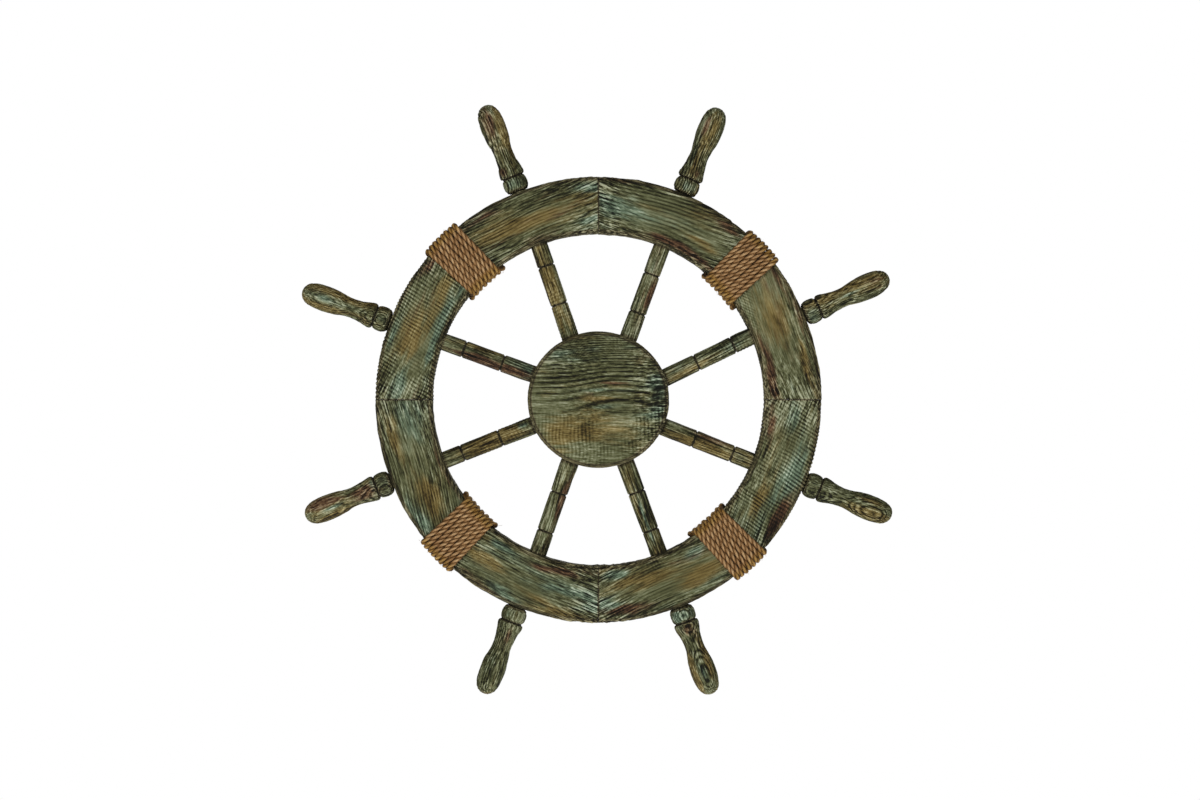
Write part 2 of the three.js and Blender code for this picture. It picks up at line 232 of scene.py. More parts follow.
# %% Grain coordinates
def in_the_tree(points, along, out, pith, seed, swell=(0, 1, 0)):
    """Points in mm to grain coordinates in mm: along the trunk, beside the pith, and out from the pith.
    pith is (how far behind, how far beside) the piece's own origin the pith runs. swell is a bend of the
    trunk: (where along it, how wide, how far it lifts the pith)."""
    along = np.array(along, float)
    out = np.array(out, float)
    x = points @ along
    lift = swell[2] * np.exp(-(((x - swell[0]) / swell[1]) ** 2))
    y = points @ np.cross(out, along) - pith[1]
    z = points @ out + pith[0] - lift
    grain = np.stack([x, y, z], -1)
    shift = np.array([137.0, 59.0, 83.0]) * seed
    y = y + 3 * noise.at((grain + shift) / (110, 60, 60))
    z = z + 4 * noise.at((grain - shift) / (90, 70, 70))
    return np.stack([x, y, z], -1)


# %% Growth rings
def ring_number(grain, width, seed, near=60.0, crowd=1.0):
    """How many rings lie between a point and the pith. width is the ring width at the distance near from the
    pith, in mm. crowd over 1 makes rings narrower farther out, as on a tree that grew slower with age."""
    reach = np.hypot(grain[..., 1], grain[..., 2])
    years = np.stack([reach * 0 + seed * 7.7, reach / 9, reach * 0 + 3.3], -1)
    return near / (width * crowd) * (reach / near) ** crowd + 0.4 * noise.at(years)


print("tree coordinates ready")

# %% [markdown]
# ## Furrows
# The boards were brushed with wire and left rough from the saw. Brushing digs out the soft wood of each ring
# and opens the fibres, and the saw leaves a row of small ridges across the grain wherever it wasn't planed.
# All three are heights in mm, added along each point's own normal.

# %% Relief
SAW_PITCH = 3.5
SURFACE = {"ring": 0.5, "fibre": 0.42, "saw": 0.5, "sawn": 0.0, "skew": 0.1, "groove": 0.2}


def furrows(grain, rings, seed, look, rough):
    """Height of the brushed and sawn surface in mm. look has the depths and how much of it is sawn, and rough
    is how hard the brush bit, from 0 up."""
    shift = np.array([31.0, 17.0, 71.0]) * seed
    strength = np.clip(0.8 + 0.6 * noise.stretched(grain + shift, 45, 12), 0, 1.4)
    groove = np.exp(-(((rings % 1) - 0.5) / look["groove"]) ** 2)
    fibre = noise.stretched(grain + shift, 26, 1.7) + 0.6 * noise.stretched(grain - shift, 11, 1.05)
    fibre = fibre * (1 + 0.8 * noise.stretched(grain - 4 * shift, 40, 18))
    sawn = np.clip(look["sawn"] + 1.2 * noise.stretched(grain * (1, 1, 0.3) + 3 * shift, 50, 26), 0, 1)
    row = (grain[..., 0] + look["skew"] * grain[..., 1]) / SAW_PITCH
    row = row + 0.45 * noise.stretched(grain - 2 * shift, 22, 14)
    slot = 0.35 - np.exp(-(((row % 1) - 0.5) / 0.22) ** 2)
    teeth = slot * (0.9 + 0.9 * noise.stretched(grain + 5 * shift, 7, 7))
    height = -look["ring"] * groove * strength + look["fibre"] * fibre * rough * (1 - 0.4 * sawn)
    return height + look["saw"] * teeth * sawn


print("saw marks every", SAW_PITCH, "mm")

# %% [markdown]
# ## Paint
# The wheel was stained dark and painted olive, with blue-grey brushed on in places and bare ochre wood rubbed
# through in others. Dirt browned the edges. Noise drawn out along the grain scatters the patches, and a short
# list puts the large ones, as a painter would, where this wheel has them.

# %% Patches of tint
OCHRE, TEAL, UMBER, TONE = range(4)
SCATTER = ((70, 12), (55, 16), (90, 10), (40, 14))  # length and width in mm of each tint's own patches


def patches_of(grain, u, v, seed, spots, base=(0.30, 0.30, 0.16)):
    """Amounts of ochre, teal and umber from 0 to 1, and tone from -1 for dark to 1 for pale. u and v are
    places on the piece in mm. A spot is (tint, u, v, half length, half width, amount)."""
    shift = np.array([19.0, 43.0, 7.0]) * (seed + 1)
    amounts = []
    for tint in range(4):
        length, width = SCATTER[tint]
        wave = noise.stretched(grain + shift * (tint + 2), length, width)
        wave = wave + 0.5 * noise.stretched(grain - shift * (tint + 3), length / 3, width / 3)
        amounts.append(0.45 * wave if tint == TONE else base[tint] + 0.42 * wave)
    for tint, centre_u, centre_v, half_u, half_v, amount in spots:
        ragged = 1 + 0.5 * noise.stretched(grain + shift * (tint + 9), 18, 4)
        spread = ((u - centre_u) / half_u) ** 2 + ((v - centre_v) / half_v) ** 2
        amounts[tint] = amounts[tint] + amount * ragged * np.exp(-spread)
    return np.stack(amounts[:3], -1), amounts[TONE]


# %% [markdown]
# ## Skins
# Every wooden piece is a skin over rows of points: rows go along the piece, and each row goes once round it.
# Normals come from neighbouring points, and a fan closes each end. Each point carries its grain coordinates,
# relief, tints and distance to an edge as attributes, which the wood's material reads.

# %% Skin over rows of points
def row_normals(rows):
    """Outward normals of rows of points that close round, by differences of neighbours."""
    round_ = np.roll(rows, -1, axis=1) - np.roll(rows, 1, axis=1)
    normal = np.cross(round_, np.gradient(rows, axis=0))
    normal /= np.maximum(np.linalg.norm(normal, axis=-1, keepdims=True), 1e-12)
    outward = rows - rows.mean(axis=1, keepdims=True)
    return normal if (normal * outward).sum() > 0 else -normal


def set_fields(mesh, fields):
    """Writes one float or vector attribute per field: arrays with one row per vertex."""
    for field, values in fields.items():
        vector = values.ndim == 2
        attribute = mesh.attributes.new(field, "FLOAT_VECTOR" if vector else "FLOAT", "POINT")
        attribute.data.foreach_set("vector" if vector else "value", values.astype(np.float32).ravel())


def placed(name, mesh, material):
    """An object in the scene with that mesh and material, and smooth faces."""
    mesh.polygons.foreach_set("use_smooth", [True] * len(mesh.polygons))
    mesh.materials.append(material)
    made = bpy.data.objects.new(name, mesh)
    scene.collection.objects.link(made)
    return made


def bands(count, around):
    """Faces between rows of points that close round, and one row's point numbers and their neighbours'."""
    a = np.arange(around)
    b = (a + 1) % around
    lines = np.arange(count - 1)[:, None] * around
    quads = np.stack([lines + a, lines + b, lines + around + b, lines + around + a], -1).reshape(-1, 4)
    return quads, a, b


def skin(name, rows, fields, material):
    """A closed mesh, in metres, over rows of points in mm, with an attribute per field."""
    count, around = rows.shape[:2]
    points = np.concatenate([rows.reshape(-1, 3), rows[[0, -1]].mean(1)]) * MM
    quads, a, b = bands(count, around)
    last = (count - 1) * around
    first_middle = a * 0 + count * around
    first_cap = np.stack([b, a, first_middle], -1)
    last_cap = np.stack([last + a, last + b, first_middle + 1], -1)
    faces = quads.tolist() + first_cap.tolist() + last_cap.tolist()
    # The quads' summed volume about the origin is negative when the rows run the other way round.
    p, q, r = (points[quads[:, i]] for i in range(3))
    if np.einsum("ij,ij->i", p, np.cross(q, r)).sum() < 0:
        faces = [face[::-1] for face in faces]
    mesh = bpy.data.meshes.new(name)
    mesh.from_pydata(points.tolist(), [], faces)
    flat = {}
    for field, values in fields.items():
        ends = values[[0, -1]].mean(1)
        flat[field] = np.concatenate([values.reshape(count * around, *values.shape[2:]), ends])
    set_fields(mesh, flat)
    return placed(name, mesh, material)


def wooden(name, rows, grain, rings, seed, look, colouring, edge, wobble=0.25, quiet=1.0, rough=1.0):
    """A painted wooden skin: rows of points in mm, pushed along their normals by furrows and a broad wobble.
    colouring is what patches_of() gives, and quiet scales the relief down where the brush didn't reach."""
    height = furrows(grain, rings, seed, {**SURFACE, **look}, rough) * quiet
    bend = wobble * (noise.at(rows / 24 + seed * 9.1) + 0.5 * noise.at(rows / 9 - seed * 5.3))
    rows = rows + row_normals(rows) * (height + bend * np.minimum(1, quiet + 0.2))[..., None]
    tints, tone = colouring
    fields = {"grain": grain * MM, "relief": height, "tints": tints, "tone": tone, "edge": edge + 0 * height,
              "rough": rough + 0 * height}
    return skin(name, rows, fields, paint)


print("skins ready")

# %% [markdown]
# ## Painted wood
# Pine, stained dark, then painted olive with patches of blue-grey and rubbed back. What the eye gets: dark
# furrows where stain and dirt stay, olive body colour, pale dry-brushed ridges, ochre where the wood shows
# through, and brown worn edges. Dull: dielectric, roughness about 0.7.
# One material serves every wooden piece, because they were painted together. Relief and fine fibres choose
# dark or pale, and the tint attribute chooses among the four ramps.

# %% Painted wood material
RELIEF_STOPS = (0.0, 0.26, 0.50, 0.74, 1.0)
TINT_RAMPS = {
    "olive": ("#13130b", "#33341d", "#535537", "#747759", "#a3a68a"),
    "ochre": ("#191307", "#3e3418", "#65562d", "#7f7145", "#a89d72"),
    "teal": ("#10140f", "#2f382c", "#50604c", "#75866f", "#b0bca8"),
    "umber": ("#100b06", "#2c1e12", "#4a3321", "#6c5338", "#96866a"),
    "edge": ("#100e08", "#262113", "#423a25", "#61573b", "#8b8261"),
}


def ramp(tree, factor, stops, colours):
    """A colour ramp node with the given stops, from hex colours."""
    made = add(tree, "ValToRGB", Fac=factor)
    band = made.color_ramp
    while len(band.elements) < len(stops):
        band.elements.new(0.5)
    for element, place, colour in zip(band.elements, stops, colours):
        element.position = place
        element.color = linear(colour)
    return made


def calculate(tree, operation, *values, clamp=False):
    return add(tree, "Math", {"operation": operation, "use_clamp": clamp}, numbered=values)


def grain_noise(tree, grain, along, across, detail, offset=(0, 0, 0)):
    """Noise in patches that long and wide in mm, from the grain attribute, which is in metres."""
    scale = (1000 / along, 1000 / across, 1000 / across)
    moved = add(tree, "Mapping", Vector=(grain, "Vector"), Scale=scale, Location=offset)
    return add(tree, "TexNoise", Vector=moved, Scale=1.0, Detail=detail, Roughness=0.6)


def step_up(tree, value, low, high):
    """0 below low, 1 above high, and smooth between."""
    settings = {"interpolation_type": "SMOOTHSTEP"}
    return add(tree, "MapRange", settings, Value=value, From_Min=low, From_Max=high)


def mixed(tree, factor, a, b):
    return add(tree, "Mix", {"data_type": "RGBA"}, Factor=factor, A=a, B=b)


def painted_wood():
    """Stained pine under rubbed-back olive and blue-grey paint."""
    material, tree, shader = new_material("rubbed_olive_paint_on_brushed_pine")
    names = ("grain", "relief", "tints", "tone", "edge", "rough")
    fields = [add(tree, "Attribute", {"attribute_name": name}) for name in names]
    grain, relief, tints, tone, edge, rough = fields

    # Dark or pale: the carved relief, fibres finer than the mesh holds, and the dry brush's skips.
    # Real fibres are under 0.1 mm wide. These are drawn at 1 mm, so that they show from across a room.
    fibres = grain_noise(tree, grain, 24, 1.0, 3)
    skips = grain_noise(tree, grain, 4, 1.8, 4, (3, 1, 7))
    shade = add(tree, "MapRange", {"clamp": False}, Value=(relief, "Fac"), From_Min=-0.85, From_Max=0.65)
    brushed = calculate(tree, "MULTIPLY_ADD", fibres, 2.6, -1.3)
    brushed = calculate(tree, "ADD", brushed, calculate(tree, "MULTIPLY_ADD", skips, 1.2, -0.6))
    shade = calculate(tree, "ADD", shade, calculate(tree, "MULTIPLY", brushed, (rough, "Fac")))
    shade = calculate(tree, "ADD", shade, calculate(tree, "MULTIPLY", (tone, "Fac"), 0.3), clamp=True)

    # The tints follow the brush: fibres break up the edge of each patch.
    amounts = add(tree, "SeparateXYZ", Vector=(tints, "Vector"))
    ragged = calculate(tree, "MULTIPLY_ADD", grain_noise(tree, grain, 16, 2.5, 4, (9, 4, 2)), 0.9, -0.45)
    ramps = {name: ramp(tree, shade, RELIEF_STOPS, colours) for name, colours in TINT_RAMPS.items()}
    colour = ramps["olive"]
    for name, output in (("ochre", "X"), ("teal", "Y"), ("umber", "Z")):
        weight = step_up(tree, calculate(tree, "ADD", (amounts, output), ragged), 0.28, 1.0)
        colour = mixed(tree, weight, colour, ramps[name])

    # Edges are rubbed to brown wood. Painted shade: near black where the edge begins, in grooves and in gaps
    # between pieces.
    worn = calculate(tree, "MULTIPLY", step_up(tree, (edge, "Fac"), 0.15, 0.6), 0.75)
    colour = mixed(tree, worn, colour, ramps["edge"])
    crease_shade = calculate(tree, "MULTIPLY", step_up(tree, (edge, "Fac"), 1.1, 1.7), 0.85)
    colour = mixed(tree, crease_shade, colour, linear("#12100a"))

    dull = add(tree, "MapRange", Value=shade, To_Min=0.9, To_Max=0.62)
    bump = add(tree, "Bump", Strength=0.5, Distance=0.0005, Height=shade)
    feed(tree, shader, Base_Color=colour, Roughness=dull, Specular_IOR_Level=0.18, Normal=bump)
    return material


paint = painted_wood()
print("material:", paint.name, len(paint.node_tree.nodes), "nodes")

# %% [markdown]
# ## Outlines, axes and sockets
# The wooden pieces start from outlines with rounded corners. The CAD pieces give the axes that the turned
# ones are built on. Spokes, handles and dowels sit in real sockets, bored with a Boolean cut.

# %% Outlines with rounded corners
def outline_of(corners, radii, step, closed=True):
    """Evenly spaced points along straight runs between corners, rounded where a radius is given."""
    corners = np.array(corners, float)
    count = len(corners)
    pieces = []
    for i, here in enumerate(corners):
        if radii[i] == 0 or (not closed and i in (0, count - 1)):
            pieces.append(here[None])
            continue
        u, v = (other - here for other in (corners[i - 1], corners[(i + 1) % count]))
        u, v = u / np.linalg.norm(u), v / np.linalg.norm(v)
        half = math.acos(np.clip(u @ v, -1, 1)) / 2
        centre = here + (u + v) / np.linalg.norm(u + v) * radii[i] / math.sin(half)
        t = np.linspace(0, 1, 9 + int(radii[i]))[:, None]
        back_off = radii[i] / math.tan(half)
        sweep = (1 - t) * (here + u * back_off) + t * (here + v * back_off) - centre
        pieces.append(centre + sweep / np.linalg.norm(sweep, axis=1, keepdims=True) * radii[i])
    path = np.concatenate(pieces + ([pieces[0][:1]] if closed else []))
    lengths = np.concatenate([[0], np.cumsum(np.linalg.norm(np.diff(path, axis=0), axis=1))])
    places = np.linspace(0, lengths[-1], int(round(lengths[-1] / step)) + 1)
    even = np.stack([np.interp(places, lengths, path[:, k]) for k in (0, 1)], -1)
    return even[:-1] if closed else even


def crease(distance, width):
    """1 on a line, and less beside it."""
    return np.exp(-((distance / width) ** 2))


# %% Axes of the turned CAD pieces
FRONT = np.array([0.0, -1.0, 0.0])
UP = np.array([0.0, 0.0, 1.0])


def direction(angle):
    """A unit vector in the wheel's plane, at an angle in radians from +X."""
    return np.array([math.cos(angle), 0, math.sin(angle)])


def cad_points(node):
    """A CAD node's vertices in mm."""
    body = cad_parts[node]
    matrix = np.array(body.matrix_world)
    places = np.array([v.co for v in body.data.vertices])
    return (places @ matrix[:3, :3].T + matrix[:3, 3]) / MM


def axis_of(node):
    """Start, direction and length in mm of a turned CAD piece. It starts at its end nearer the hub."""
    points = cad_points(node)
    middle = points.mean(0)
    along = np.linalg.svd(points - middle, full_matrices=False)[2][0]
    along = along if along @ middle > 0 else -along
    along[1] = 0
    along /= np.linalg.norm(along)
    side = np.cross(FRONT, along)
    across = (points - middle) @ side
    middle = middle + side * (across.max() + across.min()) / 2
    middle[1] = MID
    run = (points - middle) @ along
    return middle + along * run.min(), along, run.max() - run.min()


def turned(start, along, outline, around):
    """Rows of points in mm for an outline of (distance along, radius) turned round an axis."""
    face = UP if abs(along @ FRONT) > 0.9 else FRONT
    angles = np.linspace(0, 2 * math.pi, around, endpoint=False)[:, None]
    ring = np.cos(angles) * face + np.sin(angles) * np.cross(face, along)
    return start + outline[:, None, :1] * along + outline[:, None, 1:] * ring


# %% Boring sockets
CLEARANCE = 0.3


def drill(start, along, begin, end, radius):
    """A drill's path: a closed cylinder in mm along an axis, a little wider than what goes into it."""
    outline = np.array([(begin, radius + CLEARANCE), (end, radius + CLEARANCE)])
    return skin("drill", turned(start, along, outline, 40), {}, paint)


def bore(piece, drills):
    """Cuts the drills out of a piece and throws them away."""
    for tool in drills:
        cut = piece.modifiers.new("socket", "BOOLEAN")
        cut.operation = "DIFFERENCE"
        cut.solver = "MANIFOLD"
        cut.object = tool
    graph = bpy.context.evaluated_depsgraph_get()
    mesh = bpy.data.meshes.new_from_object(piece.evaluated_get(graph))
    piece.modifiers.clear()
    piece.data = mesh
    for tool in drills:
        bpy.data.objects.remove(tool)
    return piece


def crisp(piece):
    """Keeps faces that meet at more than 20 degrees apart in the shading, as on stamped or cut metal."""
    piece.data.set_sharp_from_angle(angle=math.radians(20))
    return piece


def belongs(piece, body, slot, *nodes):
    """Hides the CAD nodes that a piece stands for, and attaches the piece to the body it moves with. slot is
    not used.
    """
    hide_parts(*nodes)
    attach(piece, body)
    return piece


MID = MID_Y / MM
STATIONS = range(1, 9)
spoke_axes = {k: axis_of(f"spoke_{k}") for k in STATIONS}
handle_axes = {k: axis_of(f"handle_{k}") for k in STATIONS}
dowel_names = [f"rim_dowel_{k}_{word}" for k in STATIONS for word in ("inner", "outer")]
print("spoke length", round(spoke_axes[1][2], 1), "mm, handle length", round(handle_axes[1][2], 1), "mm")

# %% [markdown]
# ## Hub
# One disc, turned, with a sanded front edge. The trunk ran level across it, with the pith behind the lower
# half, so the rings crowd at the top, open into arches in the middle and vanish below, where only saw marks
# and fibres are left. It is a skin from the middle of the front, over the edge, to the middle of the back.

# %% Hub
HUB_WIDE = (hub_high.x - hub_low.x) / 2 / MM
HUB_TALL = (hub_high.z - hub_low.z) / 2 / MM
HUB_FRONT, HUB_BACK = hub_low.y / MM, hub_high.y / MM
SPOKE_R = 8.5
BACK_RELIEF = 0.35  # the back was painted but never brushed
# The tone spot at 58 mm right, -0.6, is painted shade on the hub's side away from the light.
HUB_SPOTS = (
    (TONE, 0, 40, 60, 22, -0.2), (TEAL, -5, 48, 34, 5, 0.45), (TEAL, 58, 2, 11, 40, 0.55),
    (TONE, 58, 4, 8, 34, -0.6), (OCHRE, -6, -28, 42, 12, 0.55), (OCHRE, -38, -38, 14, 22, 0.5),
    (UMBER, 14, 16, 20, 1.8, 0.9), (OCHRE, -2, 1, 22, 4, 0.6), (TEAL, -6, 9, 40, 2.5, 0.5),
    (TEAL, 6, -7, 16, 3, 0.6), (TEAL, -40, 42, 14, 10, 0.5), (OCHRE, -50, 4, 12, 4, 0.4),
    (TEAL, 0, -50, 60, 14, -0.45), (TONE, -45, 33, 14, 10, 0.5),
)


def make_hub():
    inset = 0.4  # room for the furrows and the wobble inside the CAD disc
    wide = HUB_WIDE - inset
    corners = [(0.5, HUB_FRONT + inset), (wide, HUB_FRONT + inset), (wide, HUB_BACK), (0.5, HUB_BACK)]
    outline = outline_of(corners, (0, 4.2, 1.6, 0), 0.8, closed=False)
    angles = np.linspace(0, 2 * math.pi, 436, endpoint=False)
    r, y = outline[:, :1], outline[:, 1:]
    rows = np.stack([r * np.cos(angles), y + 0 * angles, r * np.sin(angles) * HUB_TALL / HUB_WIDE], -1)
    grain = in_the_tree(rows, (1, 0, 0), FRONT, (-4, -26), 3, swell=(16, 34, 8))
    rings = ring_number(grain, 4.6, 3, near=46, crowd=2.5)
    # Painted shade: a near-black line where the front turns into the rounded edge.
    line = 1.9 * crease(r - (HUB_WIDE - 3.4), 0.8) * (y < HUB_FRONT + 3)
    rubbed = 0.85 * np.clip((r - (HUB_WIDE - 3.2)) / 1.2, 0, 1)
    quiet = np.where((y > HUB_BACK - 1) & (r < wide), BACK_RELIEF, 1.0) * (1 - 0.6 * crease(r - HUB_WIDE, 3))
    low = np.clip((-rows[..., 2] - 4) / 12, 0, 1)
    x, z = rows[..., 0], rows[..., 2]
    rough = 0.55 + 0.9 * crease(x - 60, 20) + 0.6 * crease(np.hypot(x + 40, z - 38), 18)
    look = {"ring": 0.85 * (1 - 0.8 * low), "fibre": 0.34, "sawn": 1.1 * low - 0.4, "saw": 0.55, "skew": 0.02,
            "groove": 0.19}
    colouring = patches_of(grain, x, z, 3, HUB_SPOTS, base=(0.22, 0.16, 0.05))
    edge = np.maximum(line, rubbed)
    return wooden("hub_disc", rows, grain, rings, 3, look, colouring, edge, 0.3, quiet, rough)


SOCKET_DEPTH = 25
hub = make_hub()
hub_drills = [drill(a[0], a[1], -CLEARANCE, 40, SPOKE_R) for a in spoke_axes.values()]
belongs(bore(hub, hub_drills), "wheel", "painted_rim_wood", "hub")
print(hub.name, len(hub.data.polygons), "faces")

# %% [markdown]
# ## Rim
# Eight felloes, each sawn from its own board with the grain along its chord, then shaped as one ring: a
# slightly pillowed front with a rounded lip cut along both edges. Each has its own saw marks and tints.
# A felloe is a skin of cross sections from one seam to the next.

# %% Felloes
RIM_IN, RIM_OUT = 160.0, 215.0
RIM_MID, RIM_HALF = (RIM_IN + RIM_OUT) / 2, (RIM_OUT - RIM_IN) / 2
FELLOE_LENGTH = 147  # along its middle
RIM_SOCKET_DEPTH = 20
TENON_R, TENON_DEPTH = 6.5, 22
RIM_FRONT, RIM_BACK = MID - 13, MID + 13
LIP = 3.4
LIP_STEP = 0.5
CROWN = 1.1
SEAM_GAP = 0.02
# Per felloe: pith behind and beside in mm, ring width, tilt of the boards' face in degrees, amount sawn,
# skew of the saw rows, and tilt of the grain off the chord in degrees.
BOARDS = {
    1: (60, 44, 2.4, 20, 0.1, -1.0, -3),
    2: (30, 70, 2.8, 20, -0.9, 0.2, 4),
    3: (34, 50, 2.4, -25, -0.9, 0.2, 3),
    4: (80, 10, 4.5, 5, 0.8, -0.2, 0),
    5: (44, -60, 2.3, 15, -0.5, 0.3, -6),
    6: (36, 62, 2.6, -15, -0.9, 0.1, -2),
    7: (40, -48, 2.6, 30, -0.7, 0.2, 3),
    8: (75, -15, 4.5, -8, 0.8, -0.2, 0),
}
# Tints per felloe: kind, degrees back from its far seam, mm out from the inner edge, half length in degrees,
# half width in mm, amount.
RIM_SPOTS = {
    1: ((UMBER, 16, 50, 9, 4, 0.9), (TEAL, 11, 35, 5, 9, 0.5), (OCHRE, 20, 30, 8, 11, 0.6),
        (OCHRE, 33, 42, 5, 4, 0.8), (TEAL, 42, 28, 6, 8, 0.6), (UMBER, 36, 8, 11, 5, 1.0),
        (TEAL, 14, 8, 6, 5, 0.4), (TONE, 36, 8, 11, 5, -0.5)),
    2: ((UMBER, 6, 53, 9, 3, 0.7), (TEAL, 4, 34, 6, 12, 0.45), (TEAL, 14, 22, 11, 8, 0.4),
        (UMBER, 22, 7, 9, 4, 1.1), (UMBER, 36, 6, 9, 4, 0.8), (OCHRE, 33, 20, 7, 5, 0.9),
        (UMBER, 38, 47, 5, 5, 0.8), (TONE, 22, 28, 14, 12, 0.2)),
    3: ((UMBER, 11, 48, 8, 5, 0.9), (OCHRE, 23, 24, 11, 7, 0.9), (TEAL, 42, 44, 4, 5, 0.8),
        (TEAL, 42, 16, 5, 7, 0.7), (TONE, 26, 42, 20, 10, -0.35), (OCHRE, 12, 34, 5, 8, 0.4),
        (UMBER, 30, 4, 14, 4, 0.5)),
    4: ((OCHRE, 20, 28, 12, 8, 1.1), (TEAL, 20, 9, 18, 6, 0.9), (TEAL, 18, 47, 6, 6, 0.5),
        (UMBER, 38, 48, 5, 5, 0.8), (TEAL, 4, 30, 5, 10, 0.3), (OCHRE, 36, 26, 6, 8, 0.5),
        (TONE, 22, 4, 20, 3, -0.5)),
    5: ((TEAL, 12, 46, 7, 7, 0.7), (OCHRE, 14, 24, 6, 8, 0.9), (UMBER, 20, 4, 12, 3, 1.0),
        (OCHRE, 35, 40, 8, 6, 0.7), (TEAL, 37, 20, 8, 10, 0.3), (TONE, 10, 40, 8, 12, -0.2)),
    6: ((TEAL, 3, 42, 5, 9, 0.7), (TEAL, 12, 28, 10, 7, 0.6), (UMBER, 14, 10, 10, 5, 1.1),
        (TEAL, 27, 46, 6, 6, 0.6), (UMBER, 35, 51, 7, 4, 0.9), (OCHRE, 36, 28, 6, 6, 0.9),
        (TEAL, 35, 8, 5, 5, 0.8), (OCHRE, 12, 48, 6, 5, 0.5)),
    7: ((OCHRE, 15, 36, 7, 8, 0.8), (TEAL, 12, 14, 4, 8, 0.9), (UMBER, 37, 44, 9, 6, 1.0),
        (OCHRE, 30, 20, 11, 6, 0.7), (TEAL, 43, 38, 4, 6, 0.8), (TEAL, 40, 9, 6, 5, 0.7),
        (TONE, 36, 45, 8, 6, -0.4)),
    8: ((TEAL, 5, 30, 6, 8, 0.5), (UMBER, 8, 8, 9, 5, 0.9), (TEAL, 21, 42, 7, 8, 1.1),
        (UMBER, 34, 46, 7, 6, 1.2), (OCHRE, 34, 21, 8, 8, 0.8), (TONE, 34, 46, 7, 6, -0.6),
        (TEAL, 28, 32, 6, 5, 0.5)),
}


def rim_outline():
    """The rim's section as (radius, depth): sides, lips with a small step, pillowed front, flat back."""
    front = RIM_FRONT + 0.35
    low, high = RIM_IN + 0.3, RIM_OUT - 0.3
    pillow = RIM_HALF - LIP
    crown = [(RIM_MID + a, front + CROWN * (a / pillow) ** 2) for a in np.linspace(-1, 1, 9) * pillow]
    lip = front + CROWN + LIP_STEP
    corners = [(low, RIM_BACK), (low, lip + 1.9), (low + LIP - 0.7, lip), *crown, (high - LIP + 0.7, lip),
               (high, lip + 1.9), (high, RIM_BACK)]
    return outline_of(corners, (1.4, 1.3, 0, *([0] * 9), 0, 1.3, 1.4), 0.75)


def make_felloe(k):
    behind, beside, ring_width, face_tilt, sawn, skew, grain_tilt = BOARDS[k]
    outline = rim_outline()
    r, y = outline[:, 0], outline[:, 1]
    t = np.linspace(0, 1, 190)[:, None]
    first = math.radians(45 * (k - 1)) + SEAM_GAP / 2 / r
    span = math.radians(45) - SEAM_GAP / r
    angle = first + t * span
    rows = np.stack([r * np.cos(angle), y + 0 * angle, r * np.sin(angle)], -1)
    middle = math.radians(45 * k - 22.5)
    centre = RIM_MID * direction(middle)
    along = direction(middle + math.radians(90 + grain_tilt))
    side = np.cross(FRONT, along)
    tilt = math.radians(face_tilt)
    out = math.cos(tilt) * FRONT + math.sin(tilt) * side
    grain = in_the_tree(rows - centre, along, out, (behind, beside), k + 20, swell=(12 * (-1) ** k, 40, 5))
    rings = ring_number(grain, ring_width, k + 20, crowd=1.4)
    facing = y < RIM_FRONT + 5
    # Painted shade: a near-black line in the step where each lip begins.
    inner_line, outer_line = (crease(off - LIP + 0.1, 0.55) for off in (r - RIM_IN, RIM_OUT - r))
    line = 1.6 * facing * np.maximum(inner_line, outer_line)
    rubbed = 0.65 * np.clip((LIP - np.minimum(r - RIM_IN, RIM_OUT - r)) / 0.8, 0, 1) * (y < RIM_BACK - 2)
    ends = np.minimum(t, 1 - t) * FELLOE_LENGTH
    line = line * (0.75 + 0.3 * noise.stretched(grain, 14, 9))
    # Painted shade also runs near black along both seams.
    edge = np.maximum(np.maximum(line, rubbed), 1.9 * crease(ends, 0.7))
    quiet = np.where(y > RIM_BACK - 1, BACK_RELIEF, 1.0)
    ring = 0.5 if sawn < 0 else 0.15  # the brush follows the rings only where the saw marks are gone
    look = {"sawn": sawn, "skew": skew, "ring": ring, "fibre": 0.4, "saw": 0.85}
    # The brush bit hardest along both edges and near the seams. The pillowed middle stayed smooth.
    off = np.abs(r - RIM_MID) / RIM_HALF
    rough = 0.35 + 0.75 * off**2 + 0.8 * crease(ends, 22) + 0.35 * noise.stretched(grain, 45, 16)
    rough = np.clip(rough, 0.2, 1.5)
    back = 45 * k - np.degrees(angle)
    base = (0.24, 0.24, 0.10)
    tints, tone = patches_of(grain, back + 0 * r, r - RIM_IN + 0 * back, k + 20, RIM_SPOTS[k], base)
    # Painted shade: the felloe darkens towards both edges, where its pillowed front turns from the light.
    colouring = (tints, tone - 0.45 * off**4)
    return wooden(f"felloe_board_{k}", rows, grain, rings, k + 20, look, colouring, edge, 0.35, quiet, rough)


DOWEL_R, DOWEL_HALF = 4.0, 20.0
SCREW_X, SCREW_Z = 16.0, 184.0
SCREW_TIP, SCREW_TOP = -17.75, -2.85
SCREW_SIDES = {2: 1, 3: -1}  # the two felloes at the top, and the side of the seam that each is on


def rim_drills(k):
    """Drills for a felloe: its spoke, its handle's tenon, four dowels and the hanger's screw."""
    start, along, length = spoke_axes[k]
    tools = [drill(start, along, length / 2, length + CLEARANCE, SPOKE_R)]
    start, along, length = handle_axes[k]
    tools.append(drill(start, along, -CLEARANCE, 40, TENON_R))
    for seam in (k, k - 1 or 8):
        for word in ("inner", "outer"):
            middle, along = dowel_axis(f"rim_dowel_{seam}_{word}")
            tools.append(drill(middle, along, -DOWEL_HALF - CLEARANCE, DOWEL_HALF + CLEARANCE, DOWEL_R))
    if k in SCREW_SIDES:
        place = np.array([SCREW_X * SCREW_SIDES[k], SCREW_TIP, SCREW_Z])
        tools.append(drill(place, -FRONT, -CLEARANCE, 15, 1.3))
    return tools


